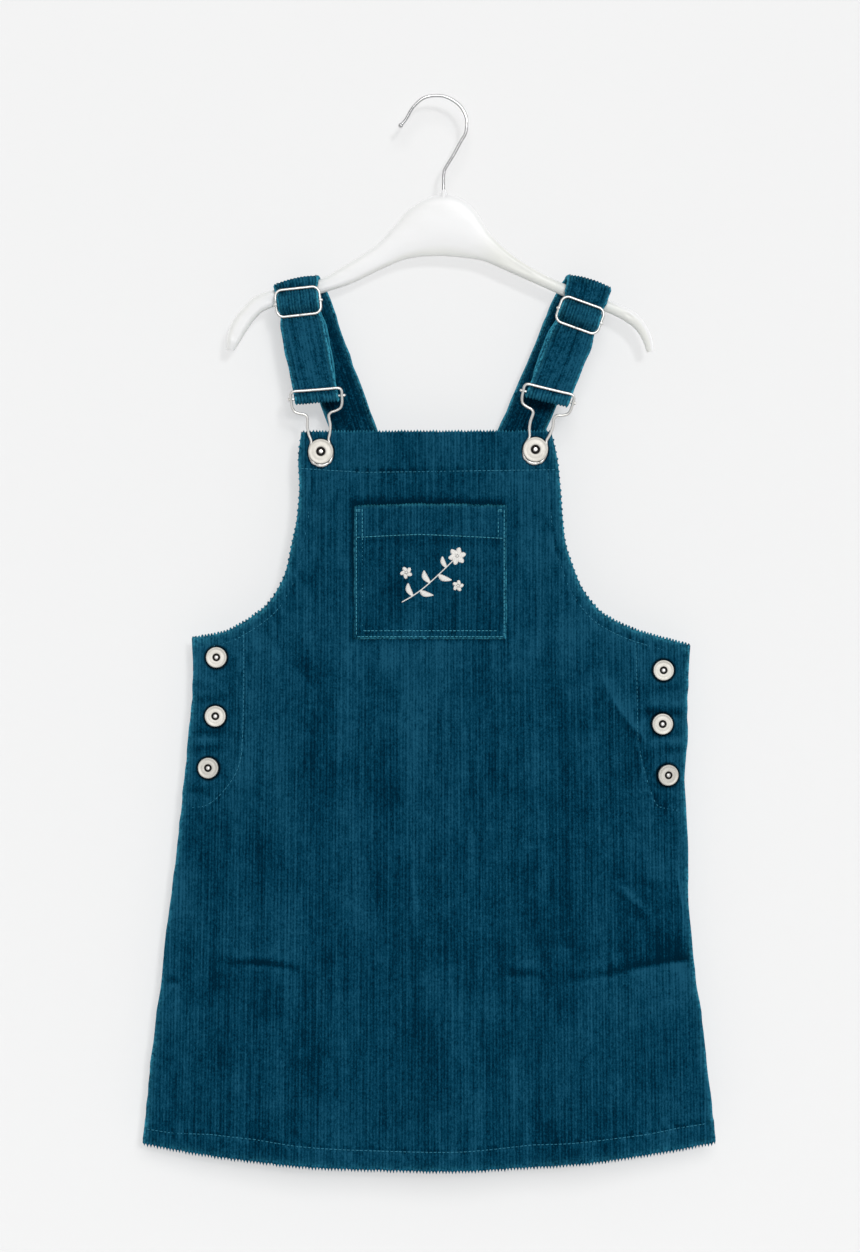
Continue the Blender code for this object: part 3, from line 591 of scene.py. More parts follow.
def corduroy(name, tone=0.0, streak=1.0, cords=0.27, contact_shade=False):
    """Cut-pile cords: grooves with painted shade, worn edges, streaks where the pile lies another way, and
    painted light and shade on creases.
    """
    n = Nodes(name)
    weave = n.attribute("weave", "Vector")
    rib = n.attribute("rib", "Fac")
    wear_and_shade = n.attribute("wear_and_shade", "Fac")
    tone_and_shade = n.attribute("tone_and_shade", "Fac")
    # Noise: its size across and along the cords in millimetres, detail, weight in the colour
    layers = (
        (2.4, 90.0, 3.0, 1.15), (26.0, 190.0, 2.0, 0.62), (42.0, 55.0, 2.0, 0.6), (13.0, 20.0, 2.0, 0.45),
        (5.0, 7.0, 2.0, 0.55), (2.0, 2.8, 2.0, 0.8), (0.9, 1.3, 2.0, 1.2), (0.3, 0.6, 1.0, 0.3),
    )
    # The rib lifts the value on the cords' crowns, so the grooves get painted shade
    value = n.math("MULTIPLY_ADD", rib, cords, 0.212 + tone)
    # Painted light and shade, with the broad tones, from the attribute
    value = n.math("MULTIPLY_ADD", tone_and_shade, 0.6, value)
    if contact_shade:
        shade_round_button, shade_round_pocket = painted_contact_shade(n)
        # Painted shadow round the pocket
        value = n.math("MULTIPLY_ADD", shade_round_pocket, -0.6, value)
    for across, along, detail, weight in layers:
        part = n.noise(n.stretched(weave, 1 / across, 1 / along, 1.0), 1.0, detail, 0.55)
        value = n.math("MULTIPLY_ADD", n.math("SUBTRACT", part, 0.5), weight * streak, value)
    cloth = n.ramp(value, (0.0, CORD_DARK), (0.36, CORD_MID), (0.85, CORD_LIGHT))
    if contact_shade:
        # Painted dark shadow ring round the buttons
        cloth = n.mix(n.math("MULTIPLY", shade_round_button, 0.93), cloth, CORD_CONTACT_SHADOW)
    rubbed = n.math("MULTIPLY", wear_and_shade, n.spread(n.noise(weave, 0.4, 3.0, 0.7), 0.36, 0.62))
    n.set(
        Base_Color=n.mix(rubbed, cloth, CORD_WORN),
        Roughness=0.92,
        Specular_IOR_Level=0.0,
        Sheen_Weight=0.1,
        Sheen_Roughness=0.45,
        Sheen_Tint=CORD_SHEEN,
    )
    n.bump(part, 0.16, 0.7)
    return n.material


def thread(name, colour, variation):
    """Twisted sewing thread."""
    n = Nodes(name)
    place = n.node("ShaderNodeTexCoord").outputs["Object"]
    twist = n.noise(place, 2600.0, 2.0)
    shade = n.noise(place, 90.0, 2.0)
    darker = tuple(c * (1.0 - variation) for c in colour)
    value = n.math("MULTIPLY_ADD", twist, 0.5, n.math("MULTIPLY", shade, 0.6))
    n.set(
        Base_Color=n.mix(n.spread(value, 0.3, 0.8), darker, colour),
        Roughness=0.6,
        Specular_IOR_Level=0.08,
    )
    n.bump(twist, 0.05, 0.6)
    return n.material


def metal(name, bright, dull, roughness, grain, metallic=1.0, specular=0.5, side_shade=0.0):
    """Plated metal with faint handling marks, and painted shade on the sides of the wires, from an attribute
    of the points.
    """
    n = Nodes(name)
    place = n.node("ShaderNodeTexCoord").outputs["Object"]
    cloud = n.noise(place, grain, 4.0, 0.6)
    marks = n.noise(n.stretched(place, 1.0, 1.0, 0.2), grain * 9.0, 2.0)
    plated = n.mix(n.spread(cloud, 0.36, 0.7), bright, dull)
    # Painted shade on the sides of the wires
    if side_shade:
        shade = tuple(c * (1.0 - side_shade) for c in dull)
        plated = n.mix(n.attribute("wear_and_shade", "Fac"), plated, shade)
    n.set(
        Base_Color=plated,
        Roughness=n.math("MULTIPLY_ADD", marks, 0.16, roughness - 0.06),
        Metallic=metallic,
        Specular_IOR_Level=specular,
    )
    n.bump(marks, 0.012, 0.3)
    return n.material


def plastic(name):
    """Moulded white plastic with a soft grain and a few scuffs, greyer where shade is painted on."""
    n = Nodes(name)
    place = n.node("ShaderNodeTexCoord").outputs["Object"]
    grain = n.noise(place, 900.0, 2.0)
    scuffs = n.noise(n.stretched(place, 1.0, 1.0, 3.0), 34.0, 5.0, 0.65)
    white = n.mix(n.spread(scuffs, 0.45, 0.8), PLASTIC_WHITE, PLASTIC_SCUFFED)
    n.set(
        Base_Color=n.mix(n.attribute("wear_and_shade", "Fac"), white, PLASTIC_SHADE),
        Subsurface_Radius=(1.0, 1.0, 1.0),
        Roughness=n.math("MULTIPLY_ADD", scuffs, 0.25, 0.26),
        Subsurface_Weight=0.3,
        Subsurface_Scale=0.008,
    )
    n.bump(grain, 0.03, 0.4)
    return n.material


def stage_paint(name):
    """Matt wall, seen from its painted side only, so the object can be looked at from behind."""
    n = Nodes(name)
    place = n.node("ShaderNodeTexCoord").outputs["Object"]
    cloud = n.noise(place, 1.4, 2.0)
    n.set(
        Base_Color=n.mix(cloud, WALL_LIGHT, WALL_DARK),
        Roughness=0.95,
        Specular_IOR_Level=0.0,
    )
    clear = n.node("ShaderNodeBsdfTransparent")
    behind = n.node("ShaderNodeNewGeometry").outputs["Backfacing"]
    both = n.node("ShaderNodeMixShader", {0: behind, 1: n.shader.outputs[0], 2: clear.outputs[0]})
    output = n.tree.nodes["Material Output"]
    n.tree.links.new(both.outputs[0], output.inputs["Surface"])
    return n.material


# The front has painted contact shadow round the buttons and the pocket
FRONT_CORDUROY = corduroy("corduroy_front", contact_shade=True)
CORDUROY = corduroy("corduroy_teal")
STRAP_CORDUROY = corduroy("corduroy_strap", tone=0.175, streak=1.6, cords=0.21)
SEWING_THREAD = thread("thread_teal", THREAD_TEAL, 0.35)
STRAP_THREAD = thread("thread_dark_teal", THREAD_DARK, 0.3)
POCKET_THREAD = thread("thread_pale_teal", THREAD_PALE, 0.3)
EMBROIDERY_THREAD = thread("thread_off_white", THREAD_WHITE, 0.1)
# Metals: bright colour, dull colour, roughness, how fine the grain is, how metallic, specular; wires also get
# painted shade on their sides
WIRE_METAL = metal("nickel_wire", (0.9, 0.885, 0.855), (0.8, 0.785, 0.75), 0.33, 60.0, 0.7, side_shade=0.78)
BUTTON_METAL = metal("button_metal", (0.63, 0.61, 0.56), (0.53, 0.51, 0.46), 0.52, 160.0, 0.45)
# The buttons' recess: near black, dark oxide with painted shade
BUTTON_RECESS_SHADE = metal("button_recess_shade", (0.012, 0.011, 0.01), (0.006, 0.005, 0.005), 0.6, 220.0, 0.0, 0.1)
HOOK_METAL = metal("hook_wire", (0.66, 0.66, 0.665), (0.56, 0.56, 0.56), 0.15, 60.0, 0.9)
HANGER_PLASTIC = plastic("hanger_plastic")


# ---------------------------------------------------------------- front and back

BODY_MID = (SIDE_SEAMS[0][1] + SIDE_SEAMS[0][2]) / 2
BODY_HALF = (SIDE_SEAMS[0][2] - SIDE_SEAMS[0][1]) / 2
BODY_LENGTH = UNDERARM_Z[0] - HEM_CORNER_Z[0]
# Rows of points: how far apart, and zones where they are closer: from, to, how far apart
ARM_ROW_STEP = 6.6
ARM_ROW_ZONES = ((0.0, 4.0, 2.0), (TOP_BAND - 3.0, TOP_BAND + 2.0, 1.6))
BODY_ROW_STEP = 8.0
BODY_ROW_ZONES = (
    (30.0, 122.0, 2.8),
    (186.0, 214.0, 3.4),
    (232.0, 268.0, 1.8),
    (BODY_LENGTH - HEM_BAND - 4.0, BODY_LENGTH - HEM_BAND + 2.0, 1.6),
    (BODY_LENGTH - HEM_BAND, BODY_LENGTH, 3.4),
)
INNER_STRIDE = 8  # columns of the outer face to one of the inner face
# Folds at a panel's top and hem: row, the row beside it, up or down, radius, wear, cords' reach
PANEL_ENDS = ((0, 1, 1.0, TOP_FOLD_R, 0.75, 1.9), (-1, -2, -1.0, HEM_FOLD_R, 0.45, 2.8))


def side_seams(down):
    """x of both side seams at a share down the body."""
    return column(SIDE_SEAMS, down, 1), column(SIDE_SEAMS, down, 2)


def between(ends, share):
    return ends[0] + share * (ends[1] - ends[0])


def hem_drop(down, across):
    """How far the cloth hangs below a straight line between the side seams."""
    drop = HEM_DROP * ease((down - HEM_DROP_START) / (1.0 - HEM_DROP_START))
    return drop * (1.0 - np.abs(across) ** HEM_DROP_POWER)


def crease_relief(x, z, creases):
    """Depth that a table of creases adds: a trough with a soft ridge over it."""
    relief = np.zeros(np.broadcast(x, z).shape)
    for x0, z0, x1, z1, width, depth, ridge, bow in creases:
        length = math.hypot(x1 - x0, z1 - z0)
        along_x, along_z = (x1 - x0) / length, (z1 - z0) / length
        if along_x < 0:
            up_x, up_z = along_z, -along_x
        else:
            up_x, up_z = -along_z, along_x
        share = ((x - x0) * along_x + (z - z0) * along_z) / length
        inside = np.clip(share, 0.0, 1.0)
        beyond = np.abs(share - inside) * length
        above = (x - x0) * up_x + (z - z0) * up_z - bow * 4.0 * inside * (1.0 - inside)
        uneven = 1.0 + 0.35 * noise(inside * length / 11.0, z0 / 7.0, x0)
        fade = np.sin(np.pi * np.clip(share, 0.02, 0.98)) ** 0.55 * bell(beyond, 5.0)
        trough = np.exp(-np.abs(above) / np.where(above > 0.0, width, 1.6 * width))
        hump = bell(above - 2.3 * width, 1.9 * width)
        relief += fade * uneven * (ridge * hump - depth * trough)
    return relief


class Panel:
    """The front or the back: where its middle surface lies, and its cloth."""

    def __init__(self, sign, armhole, depth_index, folds, creases, seed):
        self.sign = sign
        self.depth_index = depth_index
        self.folds = folds
        self.creases = creases
        self.seed = seed
        table = np.array(armhole)
        self.left_edge = curve_through(table[:, :2], steps=14)
        self.right_edge = curve_through(table[:, 2:], steps=14)
        self.top_z = table[0, 1]
        self.stitch_lines = []

    def depth(self, x, z, down, across):
        """How far the inner face stands out from the plane of the side seams."""
        bow = np.maximum(1.0 - np.abs(across) ** SECTION_POWER, 0.0)
        folds = 0.0
        for place, width, height, start in self.folds:
            rise = ease((down - start) / (1.0 - start))
            folds = folds + height * rise * bell(across - place, width)
        rumple = 0.55 * noise(x / 34.0, z / 90.0, self.seed)
        rumple += 0.3 * noise(x / 15.0, z / 46.0, self.seed + 3)
        relief = CREASE_GAIN * crease_relief(x, z, self.creases) * ease((1.0 - np.abs(across)) * 14.0 + 0.25)
        self.relief = bow * (folds + rumple) + relief
        return bow * column(PANEL_DEPTH, z, self.depth_index) + self.relief

    def tone(self, x, z):
        """Broad lighter and darker parts, lighter towards the top: partly painted light and shade from the
        way that the whole panel hangs and creases, partly the cloth's own uneven tone.
        """
        tone = 0.16 * ease((z + 700.0) / 330.0) - 0.07 + 0.06 * ease((z + 440.0) / 60.0)
        for tone_x, tone_z, reach_x, reach_z, change in TONES:
            tone = tone + change * bell(x - tone_x, reach_x) * bell(z - tone_z, reach_z)
        return tone

    def edge_distance(self, x, z):
        """Distance from the armholes' edges."""
        points = np.stack(np.broadcast_arrays(x, z), -1)
        return np.minimum(distance_to(points, self.left_edge), distance_to(points, self.right_edge))

    def body_place(self, x, z):
        """Share down the body and place across it, below the level of the underarms."""
        share = np.clip((x - BODY_MID) / BODY_HALF, -1, 1) / 2.0 + 0.5
        down = np.zeros(np.broadcast(x, z).shape)
        for _ in range(8):
            level = z + hem_drop(down, 2.0 * share - 1.0)
            top, bottom = between(UNDERARM_Z, share), between(HEM_CORNER_Z, share)
            down = np.clip((top - level) / (top - bottom), 0.0, 1.0)
            left, right = side_seams(down)
            share = np.clip((x - left) / (right - left), 0.0, 1.0)
        return down, 2.0 * share - 1.0

    def seams_relief(self, x, z):
        """Stitching pulls the cloth in, and the doubled cloth beside it stands proud."""
        points = np.stack(np.broadcast_arrays(x, z), -1)
        self.near = np.min([distance_to(points, line) for line in self.stitch_lines], 0)
        pucker = noise(x / 4.2 + z / 11.0, z / 15.0, self.seed + 5)
        relief = 0.3 * pucker * bell(self.near, 9.0) - 0.45 * bell(self.near, 1.1)
        relief += 0.25 * ease((ARMHOLE_STITCH + 0.3 - self.edge_distance(x, z)) / 1.2)
        return relief + 0.3 * ease((z - (self.top_z - TOP_BAND)) / 1.5 + 0.5)

    def outer(self, x, z):
        """Depth of the outer face between the cords, for what is laid or sewn on it."""
        x, z = np.broadcast_arrays(np.asarray(x, float), np.asarray(z, float))
        down, across = self.body_place(x, z)
        return SEAM_GAP / 2 + self.depth(x, z, down, across) + self.seams_relief(x, z) + CLOTH_BASE

    def on_cloth(self, line, lift):
        """Points lying on the cords along a line of x, z."""
        x, z = line[:, 0], line[:, 1]
        return np.stack([x, self.sign * (self.outer(x, z) + lift), z], -1)


def painted_crease_shade(x, z, relief):
    """Painted light and shade where the cloth is creased: lighter on slopes that face up and right, towards
    the light, darker on those that face away.
    """
    slope_z = np.gradient(relief, axis=0) / np.minimum(np.gradient(z, axis=0), -0.2)
    slope_x = np.gradient(relief, axis=1) / np.maximum(np.gradient(x, axis=1), 0.2)
    return np.clip(-1.7 * slope_z - 0.7 * slope_x, -1.0, 1.0)


def seam_waver(z, seed, flare):
    """How far a side seam strays outward, the same for the front and the back."""
    strays = 0.5 * noise(z / 24.0, 0.0, seed) + 0.4 * noise(z / 8.0, 0.0, seed + 2)
    at_hem = flare * ease((HEM_CORNER_Z[1] + HEM_BAND + 2.0 - z) / 3.0)
    return strays * ease((UNDERARM_Z[0] - 6.0 - z) / 20.0) + at_hem


def wale_columns():
    """Unfanned x of every column, its height in the cord, and the number of its cord."""
    numbers = np.arange(*WALE_NUMBERS)
    cords = np.repeat(numbers, len(WALE_STEPS))
    quarter = np.tile(np.arange(len(WALE_STEPS)), len(numbers))
    heights = np.tile(np.array(WALE_STEPS), len(numbers))
    return (cords + quarter / len(WALE_STEPS)) * WALE, heights, cords


def tuft_ball():
    """A small rounded form, as rings of points about its middle."""
    turns = 2.0 * np.pi * np.arange(6) / 6
    rise = np.radians([-75.0, -30.0, 20.0, 70.0])[:, None]
    flat = np.cos(rise)
    parts = (flat * np.cos(turns), flat * np.sin(turns), np.sin(rise) + 0.0 * turns)
    return np.stack(parts, -1) * np.array([0.85, 0.8, 1.25])


TUFT = tuft_ball()


def add_tufts(shape, panel, edge, mark):
    """Rounded cord ends along an armhole, where the cords run out over the turned edge."""
    step = 0.4
    fine = at_lengths(edge, np.arange(3.0, lengths_along(edge)[-1], step))
    slope = np.abs(np.gradient(fine[:, 0]) / step)
    kept = np.flatnonzero(np.diff(np.floor(np.cumsum(step * np.maximum(slope, 0.5)) / WALE)) > 0)
    for k in kept:
        x, z = fine[k]
        size = 0.62 + 0.4 * min(slope[k] * 1.3, 1.0) + 0.2 * float(noise(k * 0.37, mark, panel.seed))
        depth = float(panel.outer(x, z)) - 0.2
        centre = np.array([x + mark * 0.1, panel.sign * depth, z + 0.15])
        points = centre + TUFT * size
        numbers = shape.add(points, (x, z, panel.seed * 31.0), 0.7, 0.55, panel.tone(x, z))
        shape.tube([np.append(ring, ring[0]) for ring in numbers])


def panel_rows(panel):
    """Both ends of every row, through the armholes and down the body, and its share down the body."""
    left_length, right_length = (lengths_along(edge)[-1] for edge in (panel.left_edge, panel.right_edge))
    arm_rows = stations(left_length, ARM_ROW_STEP, ARM_ROW_ZONES)
    downs = stations(BODY_LENGTH, BODY_ROW_STEP, BODY_ROW_ZONES)[1:] / BODY_LENGTH
    left_z = UNDERARM_Z[0] - downs * BODY_LENGTH
    right_z = UNDERARM_Z[1] + downs * (HEM_CORNER_Z[1] - UNDERARM_Z[1])
    left_x, right_x = side_seams(downs)
    left = np.stack([left_x - seam_waver(left_z, 61.0, 0.3), left_z], -1)
    right = np.stack([right_x + seam_waver(right_z, 62.0, 0.4), right_z], -1)
    left = np.vstack([at_lengths(panel.left_edge, arm_rows), left])
    right = np.vstack([at_lengths(panel.right_edge, arm_rows * right_length / left_length), right])
    return left, right, np.concatenate([np.zeros(len(arm_rows)), downs])[:, None]


def make_panel(name, node, panel, cloth, hem_rise=0.0):
    """A panel as one closed sheet: corded outside, plain inside, folded at the top and the hem."""
    base_x, cord_height, cord = wale_columns()
    size = len(base_x)
    left, right, down = panel_rows(panel)
    left_x, right_x = left[:, :1], right[:, :1]

    # The cords run straight down, a little wider apart at the hem, and end at the edges
    fanned = BODY_MID + base_x[None, :] * (1.0 + WALE_FAN * down)
    wander = 0.22 * noise(cord[None, :] * 0.35, down * 6.0, panel.seed + 7)
    x = np.clip(fanned + wander, left_x, right_x)
    share = (x - left_x) / (right_x - left_x)
    in_body = down > 0.0
    across = np.where(in_body, 2.0 * share - 1.0, (x - BODY_MID) / BODY_HALF)
    z = left[:, 1:] + share * (right[:, 1:] - left[:, 1:]) - hem_drop(down, across)
    z = z + (HEM_FOLD_R + hem_rise) * ease((down - 0.9) / 0.1)
    z = z - (TOP_FOLD_R - 0.1) * ease(1.0 - (panel.top_z - z) / 20.0)

    seams = panel.seams_relief(x, z)
    depth = panel.depth(x, z, down, across) + seams
    # Painted light and shade on the creases and seams, with the broad tones
    tone_and_shade = painted_crease_shade(x, z, panel.relief + seams) + panel.tone(x, z)
    tone_and_shade += 0.45 * noise(cord * 1.3, z / 4.5, panel.seed + 23) * bell(panel.near, 5.0)
    side = np.where(in_body, np.minimum(x - left_x, right_x - x), 99.0)
    arm = panel.edge_distance(x, z)
    arm = np.where(in_body, np.maximum(arm, EDGE_FALL * 0.3), arm)
    full = rounded(np.minimum(side, arm), EDGE_FALL)
    edge_depth = np.where(in_body, 0.0, CLOTH_BASE * 0.5)
    pile = cord_height * (1.0 + 0.12 * noise(cord * 0.9, 0.0, panel.seed + 11)) * CORD_HEIGHT
    outer = depth + edge_depth + (CLOTH_BASE + pile - edge_depth) * full
    hem_wear = np.exp(-np.abs(down - 1.0) * BODY_LENGTH / 2.0)
    wear_and_shade = 1.1 * np.exp(-arm / 1.5) * (0.6 + 0.4 * cord_height)
    side_wear = np.exp(-np.minimum(side, 40.0) / 1.5) * (0.9 + 0.6 * noise(z / 26.0, np.sign(x), 63.0))
    wear_and_shade = np.maximum(np.maximum(wear_and_shade, side_wear), 0.25 * hem_wear * (0.5 + 0.5 * cord_height))
    weave = np.stack([base_x + 0 * x, z, np.full(x.shape, panel.seed * 31.0)], -1)
    rib = np.clip(cord_height * (0.35 + 0.65 * full), 0.0, 1.0)

    def placed(depths, xs, zs):
        return np.stack([xs, panel.sign * (SEAM_GAP / 2 + depths), zs], -1)

    # Outer face: in each row, the columns beyond an edge share the point that lies on the edge
    shape = Shape()
    face = shape.add(placed(outer, x, z), weave, rib, wear_and_shade, tone_and_shade)
    columns = np.arange(size)
    first = np.where(x <= left_x, columns, 0).max(1)
    final = np.where(x >= right_x, columns, size).min(1)
    for r, row in enumerate(face):
        row[: first[r]] = row[first[r]]
        row[final[r] :] = row[final[r]]
    shape.sheet(face)

    # Inner face: the same rows, fewer columns
    coarse = np.arange(0, size, INNER_STRIDE)
    inner = shape.add(placed(depth[:, coarse], x[:, coarse], z[:, coarse]), weave[:, coarse], 0.3)
    beyond = (coarse <= first[:, None]) | (coarse >= final[:, None])
    inner[beyond] = face[:, coarse][beyond]
    shape.sheet(inner[1:-1, ::-1])

    # The top and the hem are folds: rings run round from the outer face to the inner one
    for row, beside, lean, radius, worn, reach in PANEL_ENDS:
        middle = depth[row] + CLOTH_BASE / 2
        ragged = 0.4 * noise(cord * 0.9, lean, panel.seed + 17)
        rings = [face[row]]
        for turn in np.radians((35.0, 70.0, 105.0, 140.0)):
            out = radius + (reach * (cord_height**4 - 0.3) + ragged) * math.sin(turn) * full[row]
            half = (CLOTH_BASE / 2 + pile[row] * (0.5 + 0.5 * math.cos(turn))) * full[row] + 0.12
            points = placed(middle + half * math.cos(turn), x[row], z[row] + lean * out * math.sin(turn))
            marks = weave[row] + np.array([0.0, lean * turn * 1.5, 0.0])
            wear_here = worn * math.sin(turn) * (0.1 + 0.9 * cord_height**3)
            ring = shape.add(points, marks, rib[row], wear_here)
            ring[: first[row] + 1] = face[row, first[row]]
            ring[final[row] :] = face[row, final[row]]
            rings.append(ring)
        shape.sheet(np.array(rings))
        shape.join(rings[-1], inner[beside], coarse)
    for edge, mark in ((panel.left_edge, -1.0), (panel.right_edge, 1.0)):
        add_tufts(shape, panel, edge, mark)
    return shape.make(name, "corduroy", [cloth], [node])


FRONT = Panel(-1.0, FRONT_ARMHOLE, 1, FRONT_FOLDS, FRONT_CREASES, 1.0)
BACK = Panel(1.0, BACK_ARMHOLE, 2, BACK_FOLDS, BACK_CREASES, 2.0)


LINE_STEP = 3.0  # between the points of a line of stitching


def level_line(panel, drop_from_top, strays=((0.0, 0.0),)):
    """A line across a panel at a distance below its top edge."""
    z = panel.top_z - drop_from_top
    left, right = (np.interp(-z, -edge[:, 1], edge[:, 0]) for edge in (panel.left_edge, panel.right_edge))
    x = np.arange(left + 1.0, right - 1.0, LINE_STEP)
    return np.stack([x, z + column(strays, x, 1)], -1)


def hem_line(band, strays=((0.0, 0.0),)):
    """A line across a panel at a distance above its hem."""
    down = 1.0 - band / BODY_LENGTH
    left, right = side_seams(down)
    x = np.arange(left + 1.0, right - 1.0, LINE_STEP)
    share = (x - left) / (right - left)
    level = between(HEM_CORNER_Z, share) + band
    return np.stack([x, level - hem_drop(down, 2.0 * share - 1.0) + column(strays, x, 1)], -1)


def shared_lines(panel):
    """Stitching that the front and the back both have: along the armholes and side openings."""
    left = offset_line(panel.left_edge, ARMHOLE_STITCH)
    right = offset_line(panel.right_edge, -ARMHOLE_STITCH)
    sides = [curve_through(line, steps=6) for line in (LEFT_STITCHES, RIGHT_STITCHES)]
    return [left[4:-8], right[4:-8], *sides]


FRONT.stitch_lines = [level_line(FRONT, TOP_BAND, TOP_STRAYS), hem_line(HEM_BAND, HEM_STRAYS)]
BACK.stitch_lines = [level_line(BACK, TOP_BAND - 4.0), hem_line(HEM_BAND)]
for side_panel in (FRONT, BACK):
    side_panel.stitch_lines += shared_lines(side_panel)


# ---------------------------------------------------------------- stitches


def add_stitch(shape, start, end, out):
    """One stitch: a thread that comes up out of the cloth, lies on it and goes down again."""
    side = unit(np.cross(unit(end - start), out))
    rings = []
    for share, width, height in ((0.12, 0.8, 0.0), (0.5, 1.0, STITCH_RISE), (0.88, 0.8, 0.0)):
        centre = start + (end - start) * share + out * height
        rings.append(shape.ring(centre, out, side, THREAD_R * width, STITCH_SIDES))
    shape.tube(rings, capped=False)
    for tip, ring in ((start, rings[0]), (end, rings[-1])):
        point = shape.add((tip - out * THREAD_R * 1.6)[None])[0]
        for k in range(STITCH_SIDES):
            shape.face([point, ring[k], ring[k + 1]])


def add_seam(shape, points, out, seed, pitch=STITCH_PITCH, length=STITCH):
    """A row of stitches along points that lie on the cloth; out is its outward direction."""
    starts = np.arange(0.3, lengths_along(points)[-1] - length, pitch)
    starts = starts + 0.25 * noise(starts / 5.0, seed, 4.0)
    outs = np.hstack([points, np.broadcast_to(out, points.shape)])
    outs = at_lengths(outs, starts + length / 2)[:, 3:]
    for a, b, o in zip(at_lengths(points, starts), at_lengths(points, starts + length), outs):
        add_stitch(shape, a, b, unit(o))


# How deep each line of stitching on a panel sinks where it runs along the cords: across the top,
# the hem, left and right armhole, left and right side
STITCH_SINKS = (0.0, 0.0, 1.0, 1.0, 0.0, 0.7)


def panel_seams(name, panel, extra=()):
    shape = Shape()
    sinks = STITCH_SINKS + (0.0,) * len(extra)
    for number, (line, sink) in enumerate(zip([*panel.stitch_lines, *extra], sinks)):
        fine = at_lengths(line, np.arange(0.0, lengths_along(line)[-1], 1.2))
        along = np.gradient(fine, axis=0)
        steep = np.abs(along[:, 1]) / np.linalg.norm(along, axis=1)
        lift = CORD_HEIGHT * (0.8 - 0.8 * sink * ease((steep - 0.75) / 0.2))
        add_seam(shape, panel.on_cloth(fine, lift), -panel.sign * FORWARD, number)
    return shape.make(name, "corduroy", [SEWING_THREAD])


def box_line(x, z, width, height):
    """A sewn box with a cross in it, as one line of stitching."""
    w, h = width / 2, height / 2
    corners = ((-w, -h), (w, -h), (w, h), (-w, h), (-w, -h), (w, h), (w, -h), (-w, h))
    return np.array([x, z]) + np.array(corners)


# ---------------------------------------------------------------- pocket

POCKET_ROW_STEP = 4.4
POCKET_ROW_ZONES = ((0.0, 6.0, 1.5), (POCKET_BAND - 3.0, POCKET_BAND + 2.5, 1.2), (92.0, 101.0, 1.5))
POCKET_MIDDLE = (POCKET_LEFT + POCKET_RIGHT) / 2
POCKET_HALF = (POCKET_RIGHT - POCKET_LEFT) / 2
POCKET_INSETS = (1.9, 6.4)  # from the pocket's edge to its two rows of stitching
POCKET_PITCH = 3.1
POCKET_STITCH = 2.8


def pocket_outline(x, z):
    """Distance from the nearest edge of the pocket."""
    sides = np.minimum(x - POCKET_LEFT, POCKET_RIGHT - x)
    return np.minimum(sides, np.minimum(POCKET_TOP - z, z - POCKET_BOTTOM))


def pocket_lift(x, down):
    """How much higher the pocket's opening sits in its middle, fading down the pocket."""
    middle = 1.0 - ((x - POCKET_MIDDLE) / POCKET_HALF) ** 2
    return (1.4 * middle - 0.4) * np.exp(-down / 30.0)


def pocket_depth(x, z, cords=0.0):
    """Depth of the pocket's outer face in front of the side seams' plane."""
    middle = 1.0 - np.abs((x - POCKET_LEFT) / POCKET_HALF - 1.0) ** 2.2
    from_top, from_edge = POCKET_TOP - z, pocket_outline(x, z)
    gape = 3.0 * middle * np.exp(-from_top / 14.0)
    belly = 0.7 * middle * np.sin(np.pi * np.clip(from_top / (POCKET_TOP - POCKET_BOTTOM), 0, 1))
    band = 0.7 * ease((POCKET_BAND + 0.6 - from_top) / 1.2)
    turned = 0.35 * ease((7.4 - from_edge) / 1.5)
    sunk = bell(from_top - POCKET_BAND, 1.0)
    for inset in POCKET_INSETS:
        sunk = np.maximum(sunk, bell(from_edge - inset, 0.8) * (from_top > inset + 1.5))
    rumple = 0.35 * noise(x / 13.0, z / 19.0, 21.0) + 0.2 * noise(x / 5.0, z / 7.0, 22.0)
    return FRONT.outer(x, z) + CORD_HEIGHT + 1.1 + gape + belly + band + turned - 0.35 * sunk + rumple + cords


